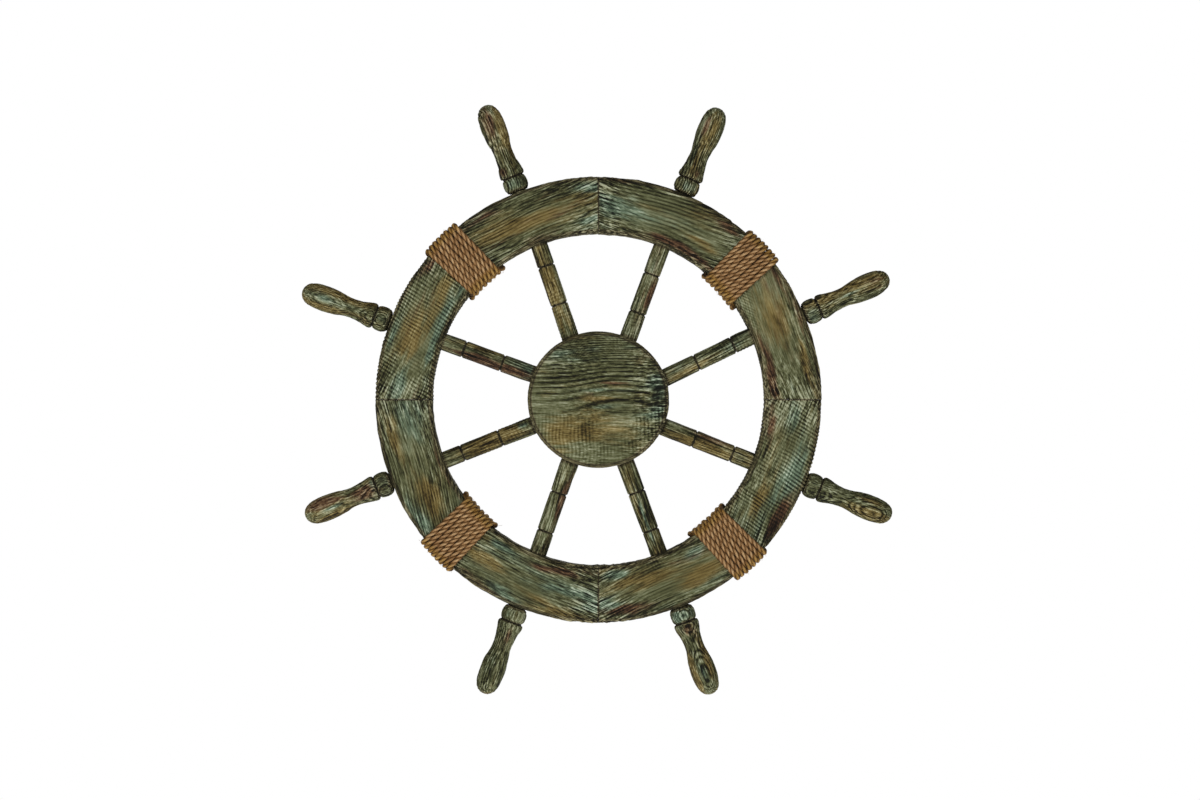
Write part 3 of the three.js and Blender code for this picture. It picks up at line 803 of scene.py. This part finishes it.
def dowel_axis(name):
    """A CAD dowel's middle in mm, and its direction, square to its radius of the rim."""
    middle = cad_points(name).mean(0)
    return middle, np.array([-middle[2], 0, middle[0]]) / np.hypot(middle[0], middle[2])


felloes = {}
for k in STATIONS:
    felloes[k] = bore(make_felloe(k), rim_drills(k))
    belongs(felloes[k], "wheel", "painted_rim_wood", f"felloe_{k}")
print("felloes with", len(felloes[1].data.polygons), "faces each")

# %% [markdown]
# ## Spokes and handles
# Turned between centres from one batch of sticks. A spoke is a straight rod with two cut grooves. A handle is
# a bead, a collar and a swelling grip, with a tenon that goes into the rim. Sticks differ in where the pith
# lay: behind the face it gives ovals on the grip, and beside it straight streaks.

# %% Spokes
GROOVE_DEPTH = 1.2
GROOVES_APART = 39.2
# Per spoke: where its outer groove lies, in mm from the wheel's middle, the angle of its bark side off the
# front in degrees, how much of it kept the lathe's chatter marks, and its tints, by mm along and across it.
SPOKE_LOOKS = {
    1: (141.0, 70, -0.2, ((OCHRE, 60, -4, 40, 5, 0.7), (TEAL, 100, 0, 14, 9, 0.4),
        (TEAL, 38, 4, 10, 4, 0.5))),
    2: (131.5, 20, 0.6, ((UMBER, 70, -6, 18, 3, 1.0), (TEAL, 95, 0, 15, 9, 0.4),
        (TEAL, 35, 0, 12, 9, 0.3))),
    3: (139.0, 60, 0.5, ((OCHRE, 65, 0, 45, 9, 0.7), (TEAL, 108, 0, 8, 8, 0.3))),
    4: (138.5, 80, -0.4, ((UMBER, 62, 4, 38, 5, 1.3), (TONE, 62, 4, 36, 5, -0.7),
        (TEAL, 30, 0, 8, 6, 0.8), (OCHRE, 75, -6, 30, 3, 0.6))),
    5: (141.0, 35, 0.2, ((OCHRE, 68, -2, 24, 7, 0.9), (TEAL, 33, -4, 8, 5, 0.7),
        (TEAL, 105, -4, 8, 4, 0.5))),
    6: (137.5, 50, -0.4, ((TONE, 55, 2, 30, 1.6, -1.0), (UMBER, 60, 5, 22, 3, 0.8),
        (TEAL, 40, -1, 10, 2, 0.7))),
    7: (136.0, 15, -0.4, ((TEAL, 70, -1, 30, 2, 1.0), (TONE, 70, 5, 26, 2, -0.8),
        (TONE, 42, 0, 12, 5, -0.6), (TEAL, 102, 0, 12, 8, 0.4))),
    8: (139.5, 75, -0.3, ((OCHRE, 60, -4, 34, 4, 0.9), (TONE, 60, 2, 30, 2, -0.9),
        (TEAL, 105, 0, 12, 8, 0.6), (UMBER, 75, 5, 24, 3, 0.6))),
}


def make_spoke(k):
    start, along, length = spoke_axes[k]
    outer, turn, chatter, spots = SPOKE_LOOKS[k]
    outer -= np.linalg.norm(start[[0, 2]])
    grooves = (outer, outer - GROOVES_APART)
    x = np.arange(0, length, 0.6)
    radius = SPOKE_R - 0.2 + 0.25 * crease(x - SOCKET_DEPTH - 10, 26)
    # Painted shade: near black in each groove and where the spoke goes into the hub and the rim.
    dark = 0 * x
    for groove in grooves:
        radius = radius - GROOVE_DEPTH * crease(x - groove, 0.75)
        dark = np.maximum(dark, 2.2 * crease(x - groove, 1.0))
    radius = np.minimum(radius, SPOKE_R - 0.9 + np.minimum(x, length - x) / 2)
    rows = turned(start, along, np.stack([x, radius], -1), 84)
    out = bark_side(along, turn)
    grain = in_the_tree(rows - start, along, out, (26, 4), k + 40)
    rings = ring_number(grain, 2.6, k + 40, near=26)
    hidden = (x < SOCKET_DEPTH - 1) | (x > length - RIM_SOCKET_DEPTH + 1)
    for end in (SOCKET_DEPTH, length - RIM_SOCKET_DEPTH):
        dark = np.maximum(dark, 1.5 * crease(x - end, 1.4))
    quiet = np.where(hidden, 0.1, 1.0)[:, None]
    u = x[:, None] + 0 * rows[..., 0]
    v = (rows - start) @ np.cross(FRONT, along)
    look = {"ring": 0.45, "fibre": 0.3, "saw": 0.4, "sawn": chatter}
    tints, tone = patches_of(grain, u, v, k + 40, spots, base=(0.38, 0.13, 0.14))
    colouring = (tints, tone - 0.1 - 0.7 * (v / SPOKE_R) ** 4)  # painted shade: a stick darkens towards its sides, where it turns from the light
    return wooden(f"spoke_rod_{k}", rows, grain, rings, k + 40, look, colouring, dark[:, None], 0.15, quiet)


def bark_side(along, degrees):
    """The way to the bark for a turned stick: that many degrees round from its front."""
    turn = math.radians(degrees)
    return math.cos(turn) * FRONT + math.sin(turn) * np.cross(FRONT, along)


for k in STATIONS:
    belongs(make_spoke(k), "wheel", "painted_turned_wood", f"spoke_{k}")
print("spokes made")

# %% Handles
HANDLE_SHAPE = (  # distance from the rim's edge, radius
    (-22, 6.3), (-0.2, 6.3), (0.6, 9.4), (2, 10.9), (5, 12.1), (8, 12.4), (11.5, 12.1), (13.8, 11.4),
    (15.2, 10.0), (16.2, 11.8), (18, 12.5), (20, 12.4), (23, 11.8), (27, 10.8), (32, 9.9), (38, 9.35),
    (43, 9.5), (48, 10.3), (54, 11.5), (60, 12.2), (66, 12.5), (72, 12.35), (77, 11.7), (81, 10.8),
    (84.5, 9.3), (87.3, 7.0), (89.2, 4.0), (89.9, 0.5),
)
COLLAR = 15.2
# Per handle: bark side off the front in degrees, pith depth and ring width in mm, and tints.
HANDLE_LOOKS = {
    1: (70, 30, 2.0, ((TEAL, 45, 0, 28, 2.5, 0.8), (UMBER, 76, 3, 14, 7, 0.7), (OCHRE, 40, 8, 40, 4, 0.6),
        (TONE, 50, -6, 40, 4, -0.3))),
    2: (75, 30, 2.1, ((OCHRE, 50, 0, 50, 12, 0.6), (UMBER, 68, 5, 12, 3, 0.9),
        (UMBER, 22, -3, 6, 5, 0.6))),
    3: (80, 26, 1.9, ((UMBER, 70, 3, 22, 6, 0.9), (OCHRE, 55, -8, 25, 4, 0.9), (UMBER, 22, 8, 6, 4, 0.8),
        (TONE, 30, -4, 30, 4, -0.4))),
    4: (5, 34, 1.15, ((OCHRE, 50, 8, 45, 5, 0.7), (OCHRE, 45, -8, 45, 5, 0.7), (TEAL, 68, 0, 12, 4, 0.7),
        (UMBER, 25, 6, 6, 5, 0.7))),
    5: (40, 28, 1.8, ((UMBER, 68, -5, 16, 5, 1.3), (TEAL, 62, 2, 16, 3, 1.0), (OCHRE, 60, 9, 20, 3, 0.8),
        (UMBER, 28, 0, 12, 6, 0.9), (TEAL, 18, 0, 3, 9, 0.9), (TONE, 8, 0, 6, 10, -0.9))),
    6: (70, 30, 2.2, ((TONE, 64, 8, 10, 1.6, -1.2), (UMBER, 28, 4, 9, 5, 0.8), (TEAL, 60, -6, 25, 5, 0.4),
        (TONE, 10, 0, 10, 8, 0.3))),
    7: (3, 30, 1.2, ((OCHRE, 60, 7, 30, 4, 0.8), (OCHRE, 70, -8, 24, 4, 0.7), (UMBER, 24, 0, 8, 8, 0.7),
        (TEAL, 66, 0, 10, 3, 0.6), (TEAL, 8, 0, 8, 12, 0.6))),
    8: (-12, 32, 1.3, ((OCHRE, 62, -5, 22, 5, 0.9), (OCHRE, 65, 7, 20, 4, 0.6), (TEAL, 24, 3, 14, 5, 0.4),
        (TONE, 12, -3, 14, 10, -0.4))),
}


def make_handle(k):
    start, along, length = handle_axes[k]
    turn, depth, ring_width, spots = HANDLE_LOOKS[k]
    outline = outline_of(HANDLE_SHAPE, (0,) * len(HANDLE_SHAPE), 0.55, closed=False)
    x, radius = outline.T
    foot = start + TENON_DEPTH * along
    rows = turned(foot, along, outline - (0, 0.15), 112)
    grain = in_the_tree(rows - foot - 60 * along, along, bark_side(along, turn), (depth, 1.5), k + 60)
    rings = ring_number(grain, ring_width, k + 60, near=depth + 10)
    # Painted shade: near black in the collar's groove and where the handle goes into the rim.
    dark = np.maximum(2.2 * crease(x - COLLAR, 1.0), 1.7 * crease(x, 2.2))
    tip = np.clip((length - TENON_DEPTH - x) / 2.5, 0.15, 1)
    quiet = (np.where(x < 0, 0.1, 1.0) * tip)[:, None]
    u = x[:, None] + 0 * rows[..., 0]
    v = (rows - foot) @ np.cross(FRONT, along)
    look = {"ring": 0.9, "fibre": 0.25, "saw": 0.2, "sawn": -0.6, "groove": 0.22}
    bead = (TEAL, 8, 0, 7, 12, 0.3)
    tints, tone = patches_of(grain, u, v, k + 60, (*spots, bead), base=(0.36, 0.10, 0.12))
    # Painted shade: the grip darkens towards its sides, where it turns from the light.
    colouring = (tints, tone + 0.22 - 0.7 * (v / radius[:, None]) ** 4)
    return wooden(f"handle_grip_{k}", rows, grain, rings, k + 60, look, colouring, dark[:, None], 0.2, quiet)


for k in STATIONS:
    belongs(make_handle(k), "wheel", "painted_turned_wood", f"handle_{k}")
print("handles made")

# %% [markdown]
# ## Rope seizings
# Jute rope, 5 mm, three strands laid right-handed, eight turns round the rim. Each strand is a tube that
# winds round the rope's own centre line, and the centre line winds round the rim's section. Turns lie side
# by side in front and spread a little at the back of the inner edge.

# %% Tubes along paths
def tube_mesh(name, paths, radii, sides, fields_of=None):
    """One mesh of closed tubes, in metres, along paths of points in mm."""
    points, faces, fields, base = [], [], {}, 0
    for path, radius in zip(paths, radii):
        tangent = np.gradient(path, axis=0)
        tangent /= np.linalg.norm(tangent, axis=1, keepdims=True)
        normal = np.cross(tangent, np.roll(tangent, 1, axis=1) + 0.3)
        normal = steady(tangent, normal)
        across = np.cross(tangent, normal)
        angles = np.linspace(0, 2 * math.pi, sides, endpoint=False)[:, None]
        ring = path[:, None] + radius * (np.cos(angles) * normal[:, None] + np.sin(angles) * across[:, None])
        count = len(path)
        quads, a = bands(count, sides)[:2]
        faces += (quads + base).tolist()
        faces += [(a[::-1] + base).tolist(), (a + base + (count - 1) * sides).tolist()]
        points.append(ring.reshape(-1, 3))
        base += count * sides
        if fields_of:
            for field, values in fields_of(path, ring).items():
                fields.setdefault(field, []).append(values.reshape(count * sides, *values.shape[2:]))
    mesh = bpy.data.meshes.new(name)
    mesh.from_pydata((np.concatenate(points) * MM).tolist(), [], faces)
    set_fields(mesh, {field: np.concatenate(values) for field, values in fields.items()})
    return mesh


def steady(tangent, normal):
    """Normals that follow a path without spinning: each is the last one, made square to the tangent."""
    out = np.empty_like(normal)
    now = normal[0]
    for i, along in enumerate(tangent):
        now = now - (now @ along) * along
        now = now / np.linalg.norm(now)
        out[i] = now
    return out


print("tube_mesh() sweeps rings along paths")

# %% Rope
ROPE_R = 2.5
TURNS = 8
TURN_PITCH = 4.95
STRAND_R = 1.46
STRAND_WIND = 1.25
LAY = 20.0
ROPE_STEP = 0.8
ROPE_OFFSET = ROPE_R + 0.15


def rope_centre(degrees, seed):
    """The rope's centre line in mm, with the outward normal at each point."""
    rng = np.random.default_rng(seed)
    low, high = -ROPE_OFFSET, RIM_OUT - RIM_IN + ROPE_OFFSET
    front, back = RIM_FRONT - ROPE_OFFSET, RIM_BACK + ROPE_OFFSET
    # One turn starts behind the rim, goes in round the inner edge, across the front and out over the top.
    section = outline_of([(high / 2, back), (low, back), (low, front), (high, front), (high, back)],
                         (0, 4, 5.5, 5.5, 4), ROPE_STEP)
    count = len(section)
    share = np.arange(TURNS * count) / count
    turn = np.floor(share).astype(int)
    part = share - turn
    r, y = np.tile(section, (TURNS, 1)).T
    # Each turn leans a little, because it gains one rope's width all the way round.
    place = (turn + part - 0.47 - (TURNS - 1) / 2) * TURN_PITCH
    loose = 0.18 * noise.at(np.stack([turn * 3.7 + part * 4, 0 * share + seed * 5.1, 0 * share], -1))
    slack = np.repeat(rng.uniform(-0.12, 0.12, TURNS), count)
    narrow = 1.01 - 0.10 * (1 - np.clip(r / 55, 0, 1))
    behind = np.clip((y - front - 6) / 10, 0, 1)
    w = (place + slack + loose) * (narrow + behind * (0.22 * np.clip(1 - r / 30, 0, 1) + 0.05))
    radius = np.sqrt((RIM_IN + r) ** 2 - w**2)
    angle = math.radians(degrees)
    out = direction(angle)
    across = np.array([-math.sin(angle), 0, math.cos(angle)])
    lift = 0.3 * noise.at(np.stack([share * 9, 0 * share + seed, 0 * share + 7], -1))
    lift = lift - 0.7 * np.abs(place / (TURNS * TURN_PITCH / 2)) ** 6
    flat = np.gradient(np.stack([r, y], -1), axis=0)
    normal = np.stack([flat[:, 1], -flat[:, 0]], -1)
    normal /= np.linalg.norm(normal, axis=1, keepdims=True)
    if (normal * (np.stack([r, y], -1) - (RIM_HALF, MID))).sum() < 0:
        normal = -normal
    centre = radius[:, None] * out + y[:, None] * -FRONT + w[:, None] * across
    outward = normal[:, :1] * out - normal[:, 1:] * FRONT
    return centre + lift[:, None] * outward, outward


def strands_of(centre, outward, seed):
    """Three strands wound right-handed round the rope's centre line."""
    tangent = np.gradient(centre, axis=0)
    steps = np.linalg.norm(tangent, axis=1)
    tangent /= steps[:, None]
    side = np.cross(tangent, outward)
    run = np.cumsum(steps)
    wander = 1.9 * noise.at(np.stack([run / 60, 0 * run + seed, 0 * run], -1))
    paths = []
    for j in range(3):
        phase = 2 * math.pi * (run / LAY + j / 3) + wander
        wind = STRAND_WIND * (1 + 0.06 * noise.at(np.stack([run / 5, 0 * run + j * 3.1, 0 * run + seed], -1)))
        away, beside = (wind * np.cos(phase))[:, None], (wind * np.sin(phase))[:, None]
        paths.append(centre + away * outward + beside * side)
    return paths, run


# %% [markdown]
# Jute fibre: light brown, matt, with a soft sheen across the yarns. Each strand shows fine yarns that slope
# the other way from the strands, so the material draws lines from the strand's own coordinates. Stray fibres
# stand off the rope as real hairs.

# %% Jute
def jute():
    material, tree, shader = new_material("twisted_jute_fibre")
    names = ("strand", "depth", "over")
    strand, depth, over = (add(tree, "Attribute", {"attribute_name": name}) for name in names)
    # Yarns: stretched noise in (distance along, way round) of a strand, sheared by the yarns' own twist.
    yarns = add(tree, "Mapping", Vector=(strand, "Vector"), Scale=(110, 900, 1))
    fine = add(tree, "TexNoise", Vector=yarns, Scale=1.0, Detail=4.0, Roughness=0.7)
    broad = add(tree, "TexNoise", Vector=(strand, "Vector"), Scale=45.0, Detail=2.0)
    shade = calculate(tree, "MULTIPLY_ADD", fine, 1.2, -0.30)
    shade = calculate(tree, "ADD", shade, calculate(tree, "MULTIPLY_ADD", broad, 0.5, -0.25))
    # Painted shade: the strands darken in towards the rope's middle and its flanks, in the crevices between
    # strands and turns.
    crevice_shade = calculate(tree, "MULTIPLY_ADD", (depth, "Fac"), 1.7, -1.28)
    shade = calculate(tree, "ADD", shade, crevice_shade, clamp=True)
    stops = (0, 0.25, 0.5, 0.75, 1)
    clean = ramp(tree, shade, stops, ("#190e03", "#4e3517", "#765533", "#977650", "#ba9c73"))
    # Handling has yellowed the rope where it bends over the rim's edges.
    yellowed = ramp(tree, shade, stops, ("#190e03", "#482f0b", "#6f5018", "#89692b", "#a58544"))
    colour = mixed(tree, calculate(tree, "MULTIPLY", (over, "Fac"), 0.7), clean, yellowed)
    bump = add(tree, "Bump", Strength=0.6, Distance=0.0003, Height=fine)
    feed(tree, shader, Base_Color=colour, Roughness=0.85, Specular_IOR_Level=0.1, Normal=bump)
    feed(tree, shader, Sheen_Weight=0.06)
    return material


jute_fibre = jute()
print("material:", jute_fibre.name)

# %% Seizings
HAIRS = 130
HAIR_R = 0.09
WALL_GAP = -0.2  # the wall behind presses the hairs flat


def stray_fibres(centre, outward, seed):
    """Short curved hairs that leave the rope's surface at a shallow slope."""
    rng = np.random.default_rng(seed + 90)
    tangent = np.gradient(centre, axis=0)
    tangent /= np.linalg.norm(tangent, axis=1, keepdims=True)
    paths = []
    for i in rng.integers(10, len(centre) - 10, HAIRS):
        side = np.cross(tangent[i], outward[i])
        turn = rng.uniform(-1.2, 1.2)
        away = math.cos(turn) * outward[i] + math.sin(turn) * side
        along = tangent[i] * rng.choice((-1, 1)) + side * rng.uniform(-0.6, 0.6)
        t = np.linspace(0, 1, 6)[:, None]
        length = rng.uniform(2.5, 6)
        rise = rng.uniform(0.5, 1.8)
        hair = centre[i] + away * (ROPE_R - 0.3 + rise * t**1.5) + along * length * t
        hair[:, 1] = np.minimum(hair[:, 1], WALL_GAP)
        paths.append(hair)
    return paths


def make_seizing(k, degrees):
    centre, outward = rope_centre(degrees, k)
    strands, run = strands_of(centre, outward, k)
    side = np.cross(np.gradient(centre, axis=0), outward)
    side /= np.linalg.norm(side, axis=1, keepdims=True)

    def rope_fields(path, ring):
        """Place on the strand, in metres, how far out from the rope's middle, 0 to 1, and how far over the
        rim's edge."""
        sides = ring.shape[1]
        round_ = np.linspace(0, 2 * math.pi * STRAND_R, sides, endpoint=False)
        along = np.cumsum(np.linalg.norm(np.gradient(path, axis=0), axis=1))[:, None]
        strand = np.stack([along + 0 * round_, round_ - 0.3 * along, 0 * along + 0 * round_], -1) * MM
        # Out from the rope's middle, less towards its flanks, where the turns press together. Low values
        # become painted shade in the crevices.
        flank = np.abs(((ring - centre[:, None]) * side[:, None]).sum(-1)) / ROPE_R
        depth = np.linalg.norm(ring - centre[:, None], axis=-1) / ROPE_R - 0.32 * flank**3
        radius = np.hypot(ring[..., 0], ring[..., 2])
        over = np.clip((np.abs(radius - RIM_MID) - 22) / 5, 0, 1)
        return {"strand": strand, "depth": depth, "over": over}

    def hair_fields(path, ring):
        return {"strand": ring * MM, "depth": np.ones(ring.shape[:2]), "over": np.zeros(ring.shape[:2])}

    hairs = stray_fibres(centre, outward, k)
    rope = tube_mesh(f"rope_{k}", strands, [STRAND_R] * 3, 12, rope_fields)
    fuzz = tube_mesh(f"fuzz_{k}", hairs, [HAIR_R] * len(hairs), 4, hair_fields)
    made = placed(f"rope_turns_{k}", rope, jute_fibre)
    hair = placed(f"rope_fuzz_{k}", fuzz, jute_fibre)
    print("rope", k, "is", round(run[-1]), "mm long")
    return made, hair


for k in range(1, 5):
    middle = cad_points(f"rope_seizing_{k}").mean(0)
    rope, fuzz = make_seizing(k, math.degrees(math.atan2(middle[2], middle[0])))
    belongs(rope, "wheel", "jute_rope", f"rope_seizing_{k}")
    belongs(fuzz, "wheel", "jute_rope", f"rope_seizing_{k}")

# %% [markdown]
# ## Dowels
# Two fluted beech dowels hold each rim seam. They are cut from rod that was pressed with twelve flutes, so
# that glue can escape, and their ends are chamfered. Bare beech: pale pinkish tan with short dark flecks,
# which are the wood's rays. Dull, like any unfinished wood.

# %% Bare beech
def bare_beech():
    material, tree, shader = new_material("bare_steamed_beech")
    grain = add(tree, "Attribute", {"attribute_name": "grain"})
    # Flecks are 2.5 mm long and a third of a millimetre wide. The bands of the growth rings are broader.
    flecks = grain_noise(tree, grain, 2.5, 0.35, 2)
    ring_bands = grain_noise(tree, grain, 40, 2.0, 3, (5, 2, 8))
    shade = calculate(tree, "MULTIPLY_ADD", ring_bands, 0.9, -0.1)
    body = ramp(tree, shade, (0, 0.5, 1), ("#b08a63", "#c8a57c", "#d9bd97"))
    fleck = calculate(tree, "MULTIPLY", step_up(tree, flecks, 0.58, 0.68), 0.55)
    colour = mixed(tree, fleck, body, linear("#8a6443"))
    dull = add(tree, "MapRange", Value=flecks, To_Min=0.62, To_Max=0.8)
    bump = add(tree, "Bump", Strength=0.3, Distance=0.0002, Height=flecks)
    feed(tree, shader, Base_Color=colour, Roughness=dull, Normal=bump)
    return material


beech = bare_beech()
print("material:", beech.name)

# %% Fluted dowels
FLUTES, FLUTE_DEPTH = 12, 0.3
CHAMFER = 1.2


def make_dowel(name):
    middle, along = dowel_axis(name)
    straight = DOWEL_HALF - CHAMFER
    slope = np.linspace(straight, DOWEL_HALF, 4)
    x = np.concatenate([-slope[::-1], np.linspace(-straight, straight, 30)[1:-1], slope])
    radius = DOWEL_R - 0.75 * np.clip(CHAMFER - (DOWEL_HALF - np.abs(x)), 0, CHAMFER)
    rows = turned(middle, along, np.stack([x, radius], -1), 8 * FLUTES)
    turn = np.linspace(0, 2 * math.pi * FLUTES, 8 * FLUTES, endpoint=False)
    depth = FLUTE_DEPTH * np.clip(np.cos(turn), 0, 1) ** 2
    rows = rows - (rows - (middle + x[:, None, None] * along)) * (depth / DOWEL_R)[None, :, None]
    grain = in_the_tree(rows - middle, along, FRONT, (30, 12), len(name))
    return skin(name.replace("rim_dowel", "fluted_dowel"), rows, {"grain": grain * MM}, beech)


for name in dowel_names:
    belongs(make_dowel(name), "wheel", "bare_dowel_wood", name)
print(len(dowel_names), "dowels")

# %% [markdown]
# ## Hanger
# A pressed steel plate lies across the top seam, on the rim's back. Its tongue is rolled round the straight
# bar of a D-ring bent from wire, and two cross-head screws hold it. All of it is zinc plated in a barrel:
# a thin bright coat, slightly blue, with a cloudy grey bloom and fine scratches from tumbling.

# %% Zinc-plated steel
def zinc_plate():
    material, tree, shader = new_material("barrel_zinc_plated_steel")
    place = (add(tree, "TexCoord"), "Object")
    # Bloom comes in clouds of about 4 mm. Scratches are short lines, drawn 0.2 mm wide so that they show.
    bloom = add(tree, "TexNoise", Vector=place, Scale=250.0, Detail=5.0, Roughness=0.6)
    slanted = add(tree, "Mapping", Vector=place, Rotation=(0.4, 0.9, 0.7), Scale=(5000, 5000, 260))
    scratches = step_up(tree, add(tree, "TexNoise", Vector=slanted, Scale=1.0, Detail=1.0), 0.62, 0.72)
    coat = ramp(tree, bloom, (0.3, 0.5, 0.7), ("#9a9fa3", "#b9bfc4", "#c9ccca"))
    gloss = add(tree, "MapRange", Value=bloom, From_Min=0.3, From_Max=0.7, To_Min=0.28, To_Max=0.5)
    gloss = calculate(tree, "MULTIPLY_ADD", scratches, 0.15, gloss)
    height = calculate(tree, "MULTIPLY_ADD", scratches, -0.5, bloom)
    bump = add(tree, "Bump", Strength=0.15, Distance=0.0001, Height=height)
    feed(tree, shader, Base_Color=coat, Metallic=1.0, Roughness=gloss, Normal=bump)
    return material


zinc = zinc_plate()
print("material:", zinc.name)

# %% Hanger plate
WING_HALF, WING_R = 16.0, 6.0
PLATE_FRONT, PLATE_BACK = -5.75, -4.75
EDGE_R = 0.25
BAR_Y, BAR_Z = -3.4, 193.5
ROLL_R = 1.85
ROLL_DEGREES = 260
TONGUE_WIDE = 10.0


def make_wings():
    """A flat bar with round ends and softened edges, bored for two screws."""
    turn = np.linspace(0, 2 * math.pi, 80, endpoint=False) + 0.03
    levels = []
    for depth in np.linspace(0, EDGE_R, 4):
        inset = EDGE_R - (EDGE_R**2 - (EDGE_R - depth) ** 2) ** 0.5
        levels.append((inset, PLATE_FRONT + depth))
    levels += [(inset, PLATE_FRONT + PLATE_BACK - y) for inset, y in levels[::-1]]
    rows = [np.stack([np.sign(np.cos(turn)) * WING_HALF + (WING_R - inset) * np.cos(turn), y + 0 * turn,
                      SCREW_Z + (WING_R - inset) * np.sin(turn)], -1) for inset, y in levels]
    plate = skin("hanger_plate_wings", np.array(rows), {}, zinc)
    holes = [drill(np.array([x, PLATE_FRONT, SCREW_Z]), -FRONT, -1, 2, 1.5) for x in (-SCREW_X, SCREW_X)]
    return crisp(bore(plate, holes))


def make_tongue():
    """A strip that runs up from the plate and rolls round the ring's bar."""
    wing_top = SCREW_Z + WING_R
    buried, bare = np.linspace(wing_top - 3, wing_top - 0.05, 8), np.linspace(wing_top, BAR_Z, 8)[:-1]
    rise = np.concatenate([buried, bare])
    turn = np.radians(np.linspace(0, ROLL_DEGREES, 60))
    y = np.concatenate([0 * rise + BAR_Y - ROLL_R, BAR_Y - ROLL_R * np.cos(turn)])
    z = np.concatenate([rise, BAR_Z + ROLL_R * np.sin(turn)])
    facing = np.concatenate([0 * rise, turn])
    thick, wide = (PLATE_BACK - PLATE_FRONT) / 2, TONGUE_WIDE / 2
    corners = [(-wide, -thick), (wide, -thick), (wide, thick), (-wide, thick)]
    section = outline_of(corners, (EDGE_R,) * 4, 0.2)
    # The strip starts inside the plate, a hair thinner, and comes out of its top edge at full thickness.
    full = np.concatenate([np.where(rise < wing_top, 0.95, 1.0), 0 * turn + 1])
    across, out = section[:, 0], section[:, 1] * full[:, None]
    rows = np.stack([0 * y[:, None] + across, y[:, None] - out * np.cos(facing)[:, None],
                     z[:, None] + out * np.sin(facing)[:, None]], -1)
    return crisp(skin("hanger_plate_tongue", rows, {}, zinc))


belongs(make_wings(), "wheel", "zinc_plated_steel", "hanger_plate")
belongs(make_tongue(), "wheel", "zinc_plated_steel", "hanger_plate")
print("plate", PLATE_BACK - PLATE_FRONT, "mm thick")

# %% D-ring
RING_HALF, RING_DROP = 8.9, 16.9
RING_CORNER = 2.5
WIRE_R = 1.1


def make_ring():
    """Wire bent to a D: a straight bar on top, two bends, and a round bow below."""
    corners = [(0, 0), (RING_HALF, 0), (RING_HALF, -RING_DROP), (-RING_HALF, -RING_DROP), (-RING_HALF, 0)]
    bow = RING_HALF - 0.01
    path = outline_of(corners, (0, RING_CORNER, bow, bow, RING_CORNER), 0.3)
    path = np.concatenate([path, path[:1]])
    path = np.stack([path[:, 0], BAR_Y + 0 * path[:, 0], BAR_Z + path[:, 1]], -1)
    return placed("hanger_d_ring", tube_mesh("hanger_d_ring", [path], [WIRE_R], 24), zinc)


belongs(make_ring(), "ring", "zinc_plated_steel", "hanger_ring")
print("ring drops", RING_DROP, "mm")

# %% Screws
SHANK_CORE, THREAD_R, THREAD_PITCH = 1.05, 1.5, 1.25
HEAD_R, CROWN_R = 3.4, 2.4
HEAD_UNDER = -4.72


def make_screw(name, x_place):
    """A pan-head wood screw: gimlet point, thread, head and a cross recess cut for the driver."""
    tip = np.array([x_place, SCREW_TIP, SCREW_Z])
    top, under = SCREW_TOP - SCREW_TIP, HEAD_UNDER - SCREW_TIP
    shank = np.arange(0, under - 0.05, 0.12)
    bulge = np.linspace(0, math.pi / 2, 10)
    rim_top = under + 0.45
    dome = rim_top + (top - rim_top) * np.sin(bulge[1:])
    x = np.concatenate([shank, [under, under + 0.15, rim_top], dome])
    head = np.concatenate([[HEAD_R - 0.2, HEAD_R, HEAD_R], CROWN_R + (HEAD_R - CROWN_R) * np.cos(bulge[1:])])
    radius = np.concatenate([np.minimum(SHANK_CORE, 0.15 + shank * 0.33), head])
    rows = turned(tip, -FRONT, np.stack([x, 1 + 0 * x], -1), 48)
    axis = tip - FRONT * x[:, None, None]
    turn = np.linspace(0, 1, 48, endpoint=False)
    crest = 1 - np.abs((x[:, None] / THREAD_PITCH - turn) % 1 - 0.5) / 0.2
    fade = np.clip(x / 3, 0, 1) * np.clip((under - 2 - x) / 1.5, 0, 1)
    thread = (THREAD_R - SHANK_CORE) * np.clip(crest, 0, 1) * fade[:, None]
    rows = axis + (rows - axis) * (radius[:, None] + thread)[..., None]
    tools = []
    for wide, tall in ((1.9, 0.42), (0.42, 1.9)):
        slot_corners = np.array([(-wide, -tall), (wide, -tall), (wide, tall), (-wide, tall)])
        levels = [(1.05, SCREW_TOP + 0.3), (0.55, SCREW_TOP - 1.5)]
        cut = [np.stack([x_place + c[:, 0], y + 0 * c[:, 0], SCREW_Z + c[:, 1]], -1)
               for share, y in levels for c in [slot_corners * share]]
        tools.append(skin("driver", np.array(cut), {}, zinc))
    return crisp(bore(skin(name + "_thread_and_head", rows, {}, zinc), tools))


for name in ("hanger_screw_left", "hanger_screw_right"):
    x_place = math.copysign(SCREW_X, cad_points(name).mean(0)[0])
    belongs(make_screw(name, x_place), "wheel", "zinc_plated_steel", name)
print("screws", round(SCREW_TOP - SCREW_TIP, 2), "mm long")

# %% The CAD pieces' own finishes
# Every CAD piece is stood for by a finer one, but keeps the same finish.
FINISHES = {"hub": paint, "felloe": paint, "spoke": paint, "handle": paint, "rope": jute_fibre, "rim": beech,
            "hanger": zinc}
for name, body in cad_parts.items():
    body.data.materials.clear()
    body.data.materials.append(FINISHES[name.split("_")[0]])
